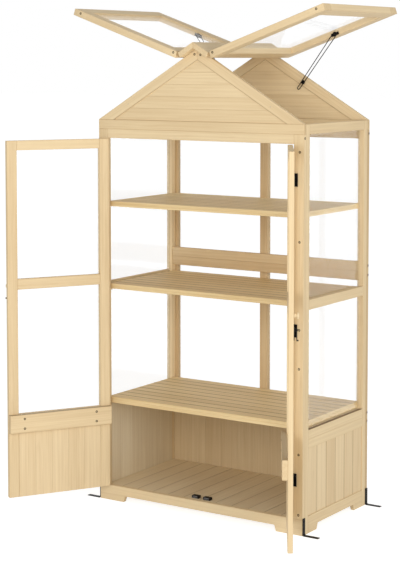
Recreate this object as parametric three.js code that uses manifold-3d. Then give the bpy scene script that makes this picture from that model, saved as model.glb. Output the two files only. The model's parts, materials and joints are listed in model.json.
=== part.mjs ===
import * as THREE from "three";
import { mergeVertices } from "three/addons/utils/BufferGeometryUtils.js";
import Module from "manifold-3d";

const wasm = await Module();
wasm.setup();

// Cabinet box: outside width and depth, height of the eaves, rise of the gable above them
const WIDTH = 1000;
const DEPTH = 550;
const EAVES_HEIGHT = 1632;
const GABLE_RISE = 298;
const SILL_HEIGHT = 40;
const HALF = WIDTH / 2;
const GABLE_HEIGHT = EAVES_HEIGHT + GABLE_RISE;
const SLOPE = Math.atan(GABLE_RISE / HALF);

// Timber sections
const FRAME_THICK = 18;
const POST = 28;
const BOARD_THICK = 12;
const RAIL_THICK = POST - BOARD_THICK;
const FRONT_STILE = 46;
const REAR_STILE = 44;
const HEADER = 38;
const JOINT_WIDTH = 4;
const JOINT_DEPTH = 1.6;

// Plinths with the low cut between their feet
const PLINTH_HEIGHT = 65;
const SIDE_PLINTH_HEIGHT = 70;
const TOE_RISE = 25;
const FRONT_FOOT = 123;
const FRONT_FOOT_TOP = 131;
const SIDE_FOOT = 116;
const SIDE_FOOT_TOP = 126;
const BOARDS_UNDER = 30;
const SIDE_RECESS = 4;

// Storage cabinet and window bands
const STORE_TOP = 418;
const STORE_RAIL = 76;
const SIDE_RAIL_LOW = 898;
const SIDE_RAIL_HIGH = 938;
const BRACE_LOW = 960;
const BRACE_HIGH = 1040;
const CENTER_POST = 37;
const CENTER_POST_DEEP = 27;

// Clear sheets and the grooves that hold them
const PANE_THICK = 3;
const PANE_CLEAR = 0.3;
const GROOVE_DEEP = 8;
const SHEET_LAP = 20;

// Tongued boards: how wide one board is in each panel
const SIDE_BOARD_PITCH = 76;
const REAR_BOARD_PITCH = 86;
const FLOOR_BOARD_PITCH = 80;
const SHELF_BOARD_PITCH = 56;
const DOOR_BOARD_PITCH = 71;
const GABLE_BOARD_PITCH = 50;

// Shelves
const SHELF_FRONT = 21;
const TOP_SHELF = 1284;
const MIDDLE_SHELF = 932;
const SHELF_DEEP = 22;
const BOTTOM_SHELF_DEEP = 26;
const SHELF_BATTEN = 20;

// Gables and ridge
const RAKE = 41;
const GABLE_RECESS = 4;
const RIDGE_THICK = 21.5;
const RIDGE_REACH = 73;
const RIDGE_OVERHANG = 33;

// Gap left between pieces that would touch in a turned group
const SEAT = 0.3;

// Doors
const DOOR_OPEN_DEG = 121;
const DOOR_THICK = 20;
const DOOR_SIDE_GAP = 1.5;
const DOOR_MEET_GAP = 3;
const DOOR_END_GAP = 2;
const DOOR_STILE = 43;
const DOOR_TOP_RAIL = 40;
const DOOR_MID_HEIGHT = 936;
const DOOR_MID_RAIL = 44;
const DOOR_LOW_RAIL = 40;
const DOOR_FOOT_RAIL = 40;
const KICK_TOP = 416;
const KICK_HEIGHT = 76;
const KICK_THICK = 21;

// Lids
const LID_OPEN_DEG = 19.3;
const LID_LENGTH = 552;
const LID_THICK = 28;
const LID_MEMBER = 54;
const LID_PANE_DOWN = 7;
const LID_BEVEL_DOWN = 6;
const LID_BEVEL_IN = 5;

// Butt hinges of the doors
const HINGE_HEIGHT = 52;
const HINGE_CENTERS = [222, 818, 1414];
const LEAF_WIDE = 19;
const LEAF_THICK = 2;
const BARREL = 2.9;
const HINGE_STANDOFF = 3;
const PIN = 1.5;
const PIN_CLEAR = 0.2;
const KNUCKLE_GAP = 0.4;
const KNUCKLE_CLEAR = 0.5;
const LEAF_HOLE = 1.9;
const LEAF_HOLE_RISE = 16;
const ROUND = 16;

// Long hinges of the lids, standing in the joint beside the ridge
const LID_HINGE_LENGTH = 500;
const LID_LEAF_THICK = 1.5;
const LID_LEAF_GAP = 0.8;
const LID_LEAF_SHORT = 3;
const LID_PIVOT_ABOVE = 2.5;
const LID_KNUCKLES = 5;
const LID_HINGE_HOLES = 4;

// Door knobs
const KNOB_HEAD = 12.5;
const KNOB_REACH = 20;
// Radius as a share of the head's, height as a share of the reach
const KNOB_PROFILE_SHARES = [
  [0, 0],
  [0.72, 0],
  [0.72, 0.08],
  [0.56, 0.2],
  [0.56, 0.38],
  [0.74, 0.5],
  [0.96, 0.62],
  [1, 0.72],
  [0.96, 0.84],
  [0.76, 0.95],
  [0.4, 1],
  [0, 1],
];
const KNOB_SIDES = 24;
const KNOB_FROM_EDGE = 14.5;
const KNOB_HEIGHT = 950;

// Turn latch below the right knob and its keeper on the left door
const LATCH_TOP = 905;
const LATCH_PLATE_HIGH = 46;
const LATCH_PLATE_WIDE = 20;
const LATCH_PLATE_THICK = 2;
const LATCH_IN = 15;
const LATCH_PIVOT_DOWN = 9;
const LATCH_BOSS = 6;
const LATCH_STAND = 7.5;
const LATCH_PIN = 2.5;
const LATCH_HEAD = 5;
const LATCH_HEAD_THICK = 1.6;
const LEVER_LONG = 40;
const LEVER_WIDE = 10;
const LEVER_THICK = 3;
const LEVER_GRIP = 5;
const LEVER_GRIP_LONG = 4;
const KEEPER_LONG = 13;
const KEEPER_FROM_EDGE = 1;
const KEEPER_WALL = 1.6;
const KEEPER_HIGH = 46;
const KEEPER_LIP = 6;
const LATCH_PLAY = 0.6;

// Lid stays: a long wire loop on a saddle, guided by a round peg
const STAY_FROM_PIVOT = 279;
const STAY_BELOW_PIVOT = 15.5;
const STAY_ANGLE_DEG = 127.3;
const STAY_TO_PEG = 255;
const STAY_LONG = 294;
const STAY_WIRE = 1.75;
const STAY_TOP_WIDE = 17;
const STAY_END_WIDE = 11;
const STAY_HUB = 10;
const SADDLE_LONG = 38;
const SADDLE_HIGH = 13;
const SADDLE_THICK = 1.5;
const SADDLE_PIN = 2;
const SADDLE_HEAD = 4;
const PEG_RADIUS = 4;
const PEG_DISC = 9;
const PEG_DISC_THICK = 2.5;
const PEG_SHORT = 1;

// Ground anchors
const ANCHOR_WIDE = 18;
const ANCHOR_THICK = 2.5;
const ANCHOR_LEG = 70;
const ANCHOR_BEND = 6;
const ANCHOR_HOLE = 2.6;
const ANCHOR_HOLE_NEAR = 26;
const ANCHOR_HOLE_FAR = 56;

// Distance under which two corners of a surface count as one
const WELD = 0.001;
// Extra length of a cutting body past the face it leaves through
const PAST = 1;

// Levels and planes that follow from the sizes above
const REAR_INSIDE = DEPTH - FRAME_THICK;
const INNER = HALF - POST;
const RAIL_INSIDE = HALF - RAIL_THICK;
const POST_FRONT = FRAME_THICK + POST;
const POST_REAR = REAR_INSIDE - POST;
const SILL_LOW = EAVES_HEIGHT - SILL_HEIGHT;
const HEADER_LOW = SILL_LOW - HEADER;
const DOORWAY = HALF - FRONT_STILE;
const REAR_BOARDS_AT = REAR_INSIDE - BOARD_THICK;
const CENTER_POST_AT = DEPTH - CENTER_POST_DEEP;
const DOOR_LOW = PLINTH_HEIGHT + DOOR_END_GAP;
const DOOR_HIGH = HEADER_LOW - DOOR_END_GAP;
const DOOR_WIDE = DOORWAY - DOOR_SIDE_GAP - DOOR_MEET_GAP / 2;
const STORE_RAIL_LOW = STORE_TOP - STORE_RAIL;
const GABLE_PANEL_BASE = (GABLE_RISE - RAKE / Math.cos(SLOPE)) / Math.tan(SLOPE);
const LID_JOINT = LID_LEAF_THICK + LID_LEAF_GAP / 2;
const LID_PIVOT_ALONG = RIDGE_REACH + LID_JOINT;
const LID_PIVOT_OUT = SEAT + RIDGE_THICK + LID_PIVOT_ABOVE;
const LID_WIDE_LOW = -RIDGE_OVERHANG;
const LID_WIDE_HIGH = DEPTH + RIDGE_OVERHANG;
const LID_UNDER = SEAT - LID_PIVOT_OUT;
const LID_OVER = LID_UNDER + LID_THICK;

// Rake line: a point a given way down the slope from the gable point and out from it
function onSlope(side, along, out) {
  const x = along * Math.cos(SLOPE) + out * Math.sin(SLOPE);
  const z = GABLE_HEIGHT - along * Math.sin(SLOPE) + out * Math.cos(SLOPE);
  return [side * x, z];
}

// Low-to-high pair on one side of the middle
function span(side, a, b) {
  const low = Math.min(side * a, side * b);
  const high = Math.max(side * a, side * b);
  return [low, high];
}

function solidOf(geometry) {
  const flat = geometry.index ? geometry.toNonIndexed() : geometry.clone();
  const bare = new THREE.BufferGeometry();
  bare.setAttribute("position", flat.getAttribute("position"));
  const merged = mergeVertices(bare, WELD);
  const index = merged.index.array;
  const kept = [];
  for (let i = 0; i < index.length; i += 3) {
    const [a, b, c] = [index[i], index[i + 1], index[i + 2]];
    if (a !== b && b !== c && a !== c) kept.push(a, b, c);
  }
  return new wasm.Manifold(
    new wasm.Mesh({
      numProp: 3,
      vertProperties: merged.attributes.position.array,
      triVerts: new Uint32Array(kept),
    }),
  );
}

function geometryOf(solid) {
  const mesh = solid.getMesh();
  const corners = new Float32Array(mesh.numVert * 3);
  for (let i = 0; i < mesh.numVert; i += 1) {
    for (let k = 0; k < 3; k += 1) {
      corners[3 * i + k] = mesh.vertProperties[i * mesh.numProp + k];
    }
  }
  const joined = new THREE.BufferGeometry();
  joined.setAttribute("position", new THREE.BufferAttribute(corners, 3));
  joined.setIndex(new THREE.BufferAttribute(mesh.triVerts, 1));
  const flat = joined.toNonIndexed();
  flat.computeVertexNormals();
  return flat;
}

function join(solids) {
  return solids.reduce((sum, next) => sum.add(next));
}

function cut(solid, tools) {
  return tools.reduce((left, tool) => left.subtract(tool), solid);
}

// Straight board from low-high pairs
function board(x, y, z) {
  const made = new THREE.BoxGeometry(x[1] - x[0], y[1] - y[0], z[1] - z[0]);
  made.translate((x[0] + x[1]) / 2, (y[0] + y[1]) / 2, (z[0] + z[1]) / 2);
  return solidOf(made);
}

// Outline pushed along one axis: points are (y, z), (x, z) or (x, y)
function pushed(axis, points, low, high) {
  const outline = new THREE.Shape(points.map(([u, v]) => new THREE.Vector2(u, v)));
  const made = new THREE.ExtrudeGeometry(outline, {
    depth: high - low,
    bevelEnabled: false,
    curveSegments: ROUND,
  });
  const x = new THREE.Vector3(1, 0, 0);
  const y = new THREE.Vector3(0, 1, 0);
  const z = new THREE.Vector3(0, 0, 1);
  if (axis === "x") {
    made.applyMatrix4(new THREE.Matrix4().makeBasis(y, z, x));
    made.translate(low, 0, 0);
  }
  if (axis === "y") {
    made.applyMatrix4(new THREE.Matrix4().makeBasis(x, z, y.clone().negate()));
    made.translate(0, high, 0);
  }
  if (axis === "z") made.translate(0, 0, low);
  return solidOf(made);
}

function circle(u, v, radius, sides = ROUND) {
  const points = [];
  for (let i = 0; i < sides; i += 1) {
    const turn = (2 * Math.PI * (i + 1 / 2)) / sides;
    points.push([u + radius * Math.cos(turn), v + radius * Math.sin(turn)]);
  }
  return points;
}

function rod(axis, u, v, radius, low, high) {
  return pushed(axis, circle(u, v, radius), low, high);
}

// Cross-section of a panel of tongued boards, with a V joint on both faces at every seam
function boardedOutline(from, to, near, far, pitch) {
  const count = Math.max(1, Math.round((to - from) / pitch));
  const step = (to - from) / count;
  const notch = JOINT_WIDTH / 2;
  const points = [[from, near]];
  for (let i = 1; i < count; i += 1) {
    const seam = from + i * step;
    points.push([seam - notch, near], [seam, near + JOINT_DEPTH], [seam + notch, near]);
  }
  points.push([to, near], [to, far]);
  for (let i = count - 1; i > 0; i -= 1) {
    const seam = from + i * step;
    points.push([seam + notch, far], [seam, far - JOINT_DEPTH], [seam - notch, far]);
  }
  points.push([from, far]);
  return points;
}

function swapped(points) {
  return points.map(([u, v]) => [v, u]);
}

// V-shaped cutter for the seam between two boards lying on one another
function seam(axis, face, level, into, low, high) {
  const half = JOINT_WIDTH / 2;
  const out = face - into * PAST;
  const rise = half + (half * PAST) / JOINT_DEPTH;
  const points = [
    [out, level - rise],
    [face + into * JOINT_DEPTH, level],
    [out, level + rise],
  ];
  return pushed(axis, points, low, high);
}

// Plinth outline with two feet and a slanted cut between them
function footedOutline(low, high, foot, footTop, height) {
  return [
    [low, 0],
    [low + foot, 0],
    [low + footTop, TOE_RISE],
    [high - footTop, TOE_RISE],
    [high - foot, 0],
    [high, 0],
    [high, height],
    [low, height],
  ];
}

function frontPlinth() {
  const outline = footedOutline(-HALF, HALF, FRONT_FOOT, FRONT_FOOT_TOP, PLINTH_HEIGHT);
  return pushed("y", outline, 0, FRAME_THICK);
}

function frontStile(side) {
  return board(span(side, DOORWAY, HALF), [0, FRAME_THICK], [PLINTH_HEIGHT, SILL_LOW]);
}

function frontHeader() {
  return board([-DOORWAY, DOORWAY], [0, FRAME_THICK], [HEADER_LOW, SILL_LOW]);
}

function sidePost(side, low, high) {
  return board(span(side, INNER, HALF), [low, high], [0, EAVES_HEIGHT]);
}

// Rail whose outer face shows the seam between its two boards
function doubledRail(side, low, high) {
  const rail = board(span(side, RAIL_INSIDE, HALF), [POST_FRONT, POST_REAR], [low, high]);
  const middle = (low + high) / 2;
  const face = side * HALF;
  const half = JOINT_WIDTH / 2;
  const outside = face + side * PAST;
  const rise = half + (half * PAST) / JOINT_DEPTH;
  const points = [
    [outside, middle - rise],
    [face - side * JOINT_DEPTH, middle],
    [outside, middle + rise],
  ];
  return cut(rail, [pushed("y", points, POST_FRONT - PAST, POST_REAR + PAST)]);
}

function sideFrame(side) {
  const rails = span(side, RAIL_INSIDE, HALF);
  const outline = footedOutline(
    POST_FRONT,
    POST_REAR,
    SIDE_FOOT - POST_FRONT,
    SIDE_FOOT_TOP - POST_FRONT,
    SIDE_PLINTH_HEIGHT,
  );
  const solid = join([
    sidePost(side, FRAME_THICK, POST_FRONT),
    sidePost(side, POST_REAR, REAR_INSIDE),
    board(rails, [POST_FRONT, POST_REAR], [SILL_LOW, EAVES_HEIGHT]),
    board(rails, [POST_FRONT, POST_REAR], [SIDE_RAIL_LOW, SIDE_RAIL_HIGH]),
    doubledRail(side, STORE_RAIL_LOW, STORE_TOP),
    pushed("x", outline, rails[0], rails[1]),
  ]);
  const groove = board(
    span(side, RAIL_INSIDE - PANE_THICK - 2 * PANE_CLEAR, RAIL_INSIDE),
    [POST_FRONT - GROOVE_DEEP, POST_REAR + GROOVE_DEEP],
    [STORE_TOP, SILL_LOW + SHEET_LAP],
  );
  return cut(solid, [groove]);
}

// Upright boards in two layers: a smooth lining behind the rails, flush with the posts inside,
// and jointed boards that fill the opening between the posts, the plinth and the storage rail
function sideBoards(side) {
  const lining = board(
    span(side, INNER, RAIL_INSIDE),
    [POST_FRONT, POST_REAR],
    [BOARDS_UNDER, STORE_TOP],
  );
  const [near, far] = span(side, RAIL_INSIDE - 2 * JOINT_DEPTH, HALF - SIDE_RECESS);
  const outline = boardedOutline(POST_FRONT, POST_REAR, near, far, SIDE_BOARD_PITCH);
  return lining.add(pushed("z", swapped(outline), SIDE_PLINTH_HEIGHT, STORE_RAIL_LOW));
}

function sidePane(side) {
  const outer = RAIL_INSIDE - PANE_CLEAR;
  return board(
    span(side, outer - PANE_THICK, outer),
    [POST_FRONT - GROOVE_DEEP + PANE_CLEAR, POST_REAR + GROOVE_DEEP - PANE_CLEAR],
    [STORE_TOP, SILL_LOW + SHEET_LAP - PANE_CLEAR],
  );
}

// Groove plane of the rear sheet, in the middle of the frame's thickness
function rearGroove(spare) {
  const middle = REAR_INSIDE + FRAME_THICK / 2;
  const half = PANE_THICK / 2 + PANE_CLEAR - spare;
  return [middle - half, middle + half];
}

function rearFrame() {
  const deep = [REAR_INSIDE, DEPTH];
  const opening = HALF - REAR_STILE;
  const post = CENTER_POST / 2;
  const plinth = footedOutline(-HALF, HALF, FRONT_FOOT, FRONT_FOOT_TOP, SIDE_PLINTH_HEIGHT);
  const boards = boardedOutline(-INNER, INNER, REAR_BOARDS_AT, REAR_INSIDE, REAR_BOARD_PITCH);
  const solid = join([
    pushed("y", plinth, deep[0], deep[1]),
    board([-HALF, -opening], deep, [SIDE_PLINTH_HEIGHT, SILL_LOW]),
    board([opening, HALF], deep, [SIDE_PLINTH_HEIGHT, SILL_LOW]),
    board([-opening, opening], deep, [HEADER_LOW, SILL_LOW]),
    board([-opening, opening], deep, [STORE_RAIL_LOW, STORE_TOP]),
    board([-INNER, INNER], [CENTER_POST_AT - RAIL_THICK, CENTER_POST_AT], [BRACE_LOW, BRACE_HIGH]),
    board([-post, post], [CENTER_POST_AT, DEPTH], [STORE_TOP, HEADER_LOW]),
    pushed("z", boards, BOARDS_UNDER, STORE_TOP),
  ]);
  const groove = board(
    [-opening - GROOVE_DEEP, opening + GROOVE_DEEP],
    rearGroove(0),
    [STORE_TOP - GROOVE_DEEP, HEADER_LOW + GROOVE_DEEP],
  );
  const braceSeam = seam(
    "x",
    CENTER_POST_AT - RAIL_THICK,
    (BRACE_LOW + BRACE_HIGH) / 2,
    1,
    -INNER - PAST,
    INNER + PAST,
  );
  const railSeam = seam(
    "x",
    DEPTH,
    (STORE_RAIL_LOW + STORE_TOP) / 2,
    -1,
    -opening,
    opening,
  );
  return cut(solid, [groove, braceSeam, railSeam]);
}

function rearPane() {
  const reach = HALF - REAR_STILE + GROOVE_DEEP - PANE_CLEAR;
  return board(
    [-reach, reach],
    rearGroove(PANE_CLEAR),
    [STORE_TOP - GROOVE_DEEP, HEADER_LOW + GROOVE_DEEP - PANE_CLEAR],
  );
}

function floorBoards() {
  const low = PLINTH_HEIGHT - BOARD_THICK;
  const outline = boardedOutline(-INNER, INNER, low, PLINTH_HEIGHT, FLOOR_BOARD_PITCH);
  return pushed("y", outline, FRAME_THICK, REAR_BOARDS_AT);
}

// Shelf of tongued boards on a front batten and two end battens
function shelf(top, deep) {
  const low = top - deep;
  const under = top - BOARD_THICK;
  const outline = boardedOutline(SHELF_FRONT, CENTER_POST_AT, under, top, SHELF_BOARD_PITCH);
  return join([
    pushed("x", outline, -INNER, INNER),
    board([-INNER, INNER], [SHELF_FRONT, SHELF_FRONT + SHELF_BATTEN], [low, under]),
    board([-INNER, -INNER + SHELF_BATTEN], [SHELF_FRONT, CENTER_POST_AT], [low, under]),
    board([INNER - SHELF_BATTEN, INNER], [SHELF_FRONT, CENTER_POST_AT], [low, under]),
  ]);
}

// Gable: sill and two rakes round a recessed panel of boards, whose seams show on the outer face
function gable(front) {
  const back = front + FRAME_THICK;
  const house = [
    [-HALF, SILL_LOW],
    [HALF, SILL_LOW],
    [HALF, EAVES_HEIGHT],
    [0, GABLE_HEIGHT],
    [-HALF, EAVES_HEIGHT],
  ];
  const panel = [
    [-GABLE_PANEL_BASE, EAVES_HEIGHT],
    [GABLE_PANEL_BASE, EAVES_HEIGHT],
    [0, GABLE_HEIGHT - RAKE / Math.cos(SLOPE)],
  ];
  const faces = [front + GABLE_RECESS, back - GABLE_RECESS];
  const solid = cut(pushed("y", house, front, back), [
    pushed("y", panel, front - PAST, faces[0]),
    pushed("y", panel, faces[1], back + PAST),
  ]);
  const seams = [];
  const top = GABLE_HEIGHT - RAKE / Math.cos(SLOPE);
  for (let z = EAVES_HEIGHT + GABLE_BOARD_PITCH; z < top - JOINT_WIDTH; z += GABLE_BOARD_PITCH) {
    const outer = front === 0 ? [faces[0], 1] : [faces[1], -1];
    seams.push(seam("x", outer[0], z, outer[1], -HALF, HALF));
  }
  const grooves = join(seams).intersect(pushed("y", panel, front, back));
  return cut(solid, [grooves]);
}

// Ridge cap: two boards meeting in an upturned V that rests on both gables
function ridgeCap() {
  const points = [
    onSlope(1, RIDGE_REACH, SEAT),
    onSlope(1, RIDGE_REACH, SEAT + RIDGE_THICK),
    [0, GABLE_HEIGHT + (SEAT + RIDGE_THICK) / Math.cos(SLOPE)],
    onSlope(-1, RIDGE_REACH, SEAT + RIDGE_THICK),
    onSlope(-1, RIDGE_REACH, SEAT),
    [0, GABLE_HEIGHT + SEAT / Math.cos(SLOPE)],
  ];
  return pushed("y", points, -RIDGE_OVERHANG, DEPTH + RIDGE_OVERHANG);
}

// Ground anchor: bent strap with two holes in each leg
function anchor(side, low) {
  const face = HALF;
  const bend = ANCHOR_BEND;
  const inner = bend - ANCHOR_THICK;
  const points = [
    [face, ANCHOR_LEG],
    [face, bend],
  ];
  const steps = ROUND / 4;
  for (let i = 1; i <= steps; i += 1) {
    const turn = (Math.PI / 2) * (i / steps);
    points.push([face + bend - bend * Math.cos(turn), bend - bend * Math.sin(turn)]);
  }
  points.push([face + ANCHOR_LEG, 0], [face + ANCHOR_LEG, ANCHOR_THICK]);
  for (let i = steps; i >= 0; i -= 1) {
    const turn = (Math.PI / 2) * (i / steps);
    points.push([face + bend - inner * Math.cos(turn), bend - inner * Math.sin(turn)]);
  }
  points.push([face + ANCHOR_THICK, ANCHOR_LEG]);
  const placed = points.map(([x, z]) => [side * x, z]);
  const middle = low + ANCHOR_WIDE / 2;
  const across = span(side, face - PAST, face + bend);
  const holes = [];
  for (const at of [ANCHOR_HOLE_NEAR, ANCHOR_HOLE_FAR]) {
    holes.push(pushed("x", circle(middle, at, ANCHOR_HOLE), across[0], across[1]));
    holes.push(pushed("z", circle(side * (face + at), middle, ANCHOR_HOLE), -PAST, bend));
  }
  return cut(pushed("y", placed, low, low + ANCHOR_WIDE), holes);
}

// Door hinge leaf: plate on the wood, its knuckles round the pin, two screw holes.
// The axis is the group's z axis; the plate lies behind it on the side given.
function doorLeaf(side, fixed) {
  const third = HINGE_HEIGHT / 3;
  const half = HINGE_HEIGHT / 2;
  const gap = KNUCKLE_GAP / 2;
  const outer = [
    [-half, -half + third - gap],
    [half - third + gap, half],
  ];
  const inner = [[-half + third + gap, half - third - gap]];
  const own = fixed ? outer : inner;
  const other = fixed ? inner : outer;
  const plate = [HINGE_STANDOFF - SEAT - LEAF_THICK, HINGE_STANDOFF - SEAT];
  const pieces = [board(span(side, 0, LEAF_WIDE), plate, [-half, half])];
  for (const [low, high] of own) pieces.push(rod("z", 0, 0, BARREL, low, high));
  const clear = [];
  for (const [low, high] of other) {
    clear.push(rod("z", 0, 0, BARREL + KNUCKLE_CLEAR, low - 2 * gap, high + 2 * gap));
  }
  let solid = cut(join(pieces), clear);
  if (fixed) solid = solid.add(rod("z", 0, 0, PIN, -half, half));
  else solid = cut(solid, [rod("z", 0, 0, PIN + PIN_CLEAR, -half - PAST, half + PAST)]);
  const holeAt = side * (LEAF_WIDE + BARREL) / 2;
  const holes = [-LEAF_HOLE_RISE, LEAF_HOLE_RISE].map((z) =>
    pushed("y", circle(holeAt, z, LEAF_HOLE), 0, HINGE_STANDOFF + PAST),
  );
  return cut(solid, holes);
}

// Lid hinge leaf: long plate standing in the joint, knuckles round the pin along y
function lidLeaf(side, fixed) {
  const length = LID_HINGE_LENGTH / LID_KNUCKLES;
  const start = (DEPTH - LID_HINGE_LENGTH) / 2;
  const gap = KNUCKLE_GAP / 2;
  const own = [];
  const other = [];
  for (let i = 0; i < LID_KNUCKLES; i += 1) {
    const part = [start + i * length + gap, start + (i + 1) * length - gap];
    if ((i % 2 === 0) === fixed) own.push(part);
    else other.push(part);
  }
  const away = fixed ? -side : side;
  const near = LID_LEAF_GAP / 2;
  const plate = span(away, near, near + LID_LEAF_THICK - SEAT);
  const low = LID_UNDER + LID_LEAF_SHORT;
  const ends = [start, start + LID_HINGE_LENGTH];
  const pieces = [board(plate, ends, [low, 0])];
  for (const [a, b] of own) pieces.push(rod("y", 0, 0, BARREL, a, b));
  const clear = other.map(([a, b]) =>
    rod("y", 0, 0, BARREL + KNUCKLE_CLEAR, a - 2 * gap, b + 2 * gap),
  );
  let solid = cut(join(pieces), clear);
  if (fixed) solid = solid.add(rod("y", 0, 0, PIN, ends[0] + gap, ends[1] - gap));
  else solid = cut(solid, [rod("y", 0, 0, PIN + PIN_CLEAR, ends[0] - PAST, ends[1] + PAST)]);
  const step = LID_HINGE_LENGTH / LID_HINGE_HOLES;
  const reach = near + LID_LEAF_THICK + PAST;
  const holes = [];
  for (let i = 0; i < LID_HINGE_HOLES; i += 1) {
    const y = start + (i + 1 / 2) * step;
    holes.push(pushed("x", circle(y, (low - BARREL) / 2, LEAF_HOLE), -reach, reach));
  }
  return cut(solid, holes);
}

// Door frame in its group: the hinge axis is z, the door runs towards the middle
function doorFrame(side) {
  const edge = DOOR_SIDE_GAP;
  const far = edge + DOOR_WIDE;
  const y = [HINGE_STANDOFF, HINGE_STANDOFF + DOOR_THICK];
  const across = (a, b) => span(-side, a, b);
  const inside = across(edge + DOOR_STILE, far - DOOR_STILE);
  const footDeep = [y[0], y[0] + DOOR_THICK - BOARD_THICK - SEAT];
  const lowRail = [KICK_TOP - DOOR_LOW_RAIL, KICK_TOP];
  const solid = join([
    board(across(edge, edge + DOOR_STILE), y, [DOOR_LOW, DOOR_HIGH]),
    board(across(far - DOOR_STILE, far), y, [DOOR_LOW, DOOR_HIGH]),
    board(inside, y, [DOOR_HIGH - DOOR_TOP_RAIL, DOOR_HIGH]),
    board(inside, y, [DOOR_MID_HEIGHT, DOOR_MID_HEIGHT + DOOR_MID_RAIL]),
    board(inside, y, lowRail),
    board(inside, footDeep, [DOOR_LOW, DOOR_LOW + DOOR_FOOT_RAIL]),
    board(across(edge, far), [y[1], y[1] + KICK_THICK], [KICK_TOP - KICK_HEIGHT, KICK_TOP]),
  ]);
  const middle = (y[0] + y[1]) / 2;
  const half = PANE_THICK / 2 + PANE_CLEAR;
  const groove = board(
    across(edge + DOOR_STILE - GROOVE_DEEP, far - DOOR_STILE + GROOVE_DEEP),
    [middle - half, middle + half],
    [KICK_TOP - GROOVE_DEEP, DOOR_HIGH - DOOR_TOP_RAIL + GROOVE_DEEP],
  );
  return cut(solid, [groove]);
}

function doorPane(side) {
  const edge = DOOR_SIDE_GAP;
  const far = edge + DOOR_WIDE;
  const inset = DOOR_STILE - GROOVE_DEEP + PANE_CLEAR;
  const middle = HINGE_STANDOFF + DOOR_THICK / 2;
  return board(
    span(-side, edge + inset, far - inset),
    [middle - PANE_THICK / 2, middle + PANE_THICK / 2],
    [KICK_TOP - GROOVE_DEEP + SEAT, DOOR_HIGH - DOOR_TOP_RAIL + GROOVE_DEEP - SEAT],
  );
}

// Tongued boards of the lower door, flush with the inner face of the stiles
function doorBoards(side) {
  const back = HINGE_STANDOFF + DOOR_THICK;
  const from = DOOR_SIDE_GAP + DOOR_STILE + SEAT;
  const to = DOOR_SIDE_GAP + DOOR_WIDE - DOOR_STILE - SEAT;
  const [low, high] = span(-side, from, to);
  const flush = back - SEAT;
  const outline = boardedOutline(low, high, back - BOARD_THICK, flush, DOOR_BOARD_PITCH);
  return pushed("z", outline, DOOR_LOW, KICK_TOP - DOOR_LOW_RAIL - SEAT);
}

// Turned wooden knob standing out of the outer face
function knob(side) {
  const profile = KNOB_PROFILE_SHARES.map(
    ([radius, reach]) => new THREE.Vector2(KNOB_HEAD * radius, KNOB_REACH * reach),
  );
  const turned = new THREE.LatheGeometry(profile, KNOB_SIDES);
  turned.rotateX(Math.PI);
  const x = -side * (DOOR_SIDE_GAP + DOOR_WIDE - KNOB_FROM_EDGE);
  turned.translate(x, HINGE_STANDOFF - SEAT, KNOB_HEIGHT);
  return solidOf(turned);
}

function latchAt(side) {
  const x = -side * (DOOR_SIDE_GAP + DOOR_WIDE - LATCH_IN);
  return [x, LATCH_TOP - LATCH_PIVOT_DOWN];
}

// Faces of the lever, outwards from the door
function leverFaces() {
  const back = HINGE_STANDOFF - SEAT - LATCH_PLATE_THICK - LATCH_STAND;
  return [back - LEVER_THICK, back];
}

// Latch plate with the boss, pin and head that hold the lever
function latchPlate(side) {
  const [x, z] = latchAt(side);
  const face = HINGE_STANDOFF - SEAT;
  const wide = LATCH_PLATE_WIDE / 2;
  const [front, back] = leverFaces();
  const plate = board(
    [x - wide, x + wide],
    [face - LATCH_PLATE_THICK, face],
    [LATCH_TOP - LATCH_PLATE_HIGH, LATCH_TOP],
  );
  const boss = rod("y", x, z, LATCH_BOSS, back + LATCH_PLAY, face - LATCH_PLATE_THICK / 2);
  const end = front - LATCH_PLAY / 2;
  const pin = rod("y", x, z, LATCH_PIN, end, face - LATCH_PLATE_THICK);
  const head = rod("y", x, z, LATCH_HEAD, end - LATCH_HEAD_THICK, end);
  return join([plate, boss, pin, head]);
}

// Lever hanging from the pin, with a grip at its foot
function latchLever(side) {
  const [x, z] = latchAt(side);
  const [front, back] = leverFaces();
  const half = LEVER_WIDE / 2;
  const foot = z - LEVER_LONG;
  const hole = rod("y", x, z, LATCH_PIN + PIN_CLEAR, front - PAST, back + PAST);
  return cut(
    join([
      board([x - half, x + half], [front, back], [foot, z]),
      rod("y", x, z, half, front, back),
      board([x - half, x + half], [front - LEVER_GRIP, back], [foot, foot + LEVER_GRIP_LONG]),
    ]),
    [hole],
  );
}

// Keeper hook, open below, that takes the lever when it is turned level
function latchKeeper(side) {
  const face = HINGE_STANDOFF - SEAT;
  const lip = leverFaces()[0] - LATCH_PLAY;
  const top = LATCH_TOP - LATCH_PIVOT_DOWN + LEVER_WIDE / 2 + LATCH_PLAY;
  const low = top + KEEPER_WALL - KEEPER_HIGH;
  const points = [
    [face, low],
    [face, top + KEEPER_WALL],
    [lip - KEEPER_WALL, top + KEEPER_WALL],
    [lip - KEEPER_WALL, top - KEEPER_LIP],
    [lip, top - KEEPER_LIP],
    [lip, top],
    [face - KEEPER_WALL, top],
    [face - KEEPER_WALL, low],
  ];
  const edge = DOOR_SIDE_GAP + DOOR_WIDE - KEEPER_FROM_EDGE;
  const across = span(-side, edge - KEEPER_LONG, edge);
  return pushed("x", points, across[0], across[1]);
}

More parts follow.
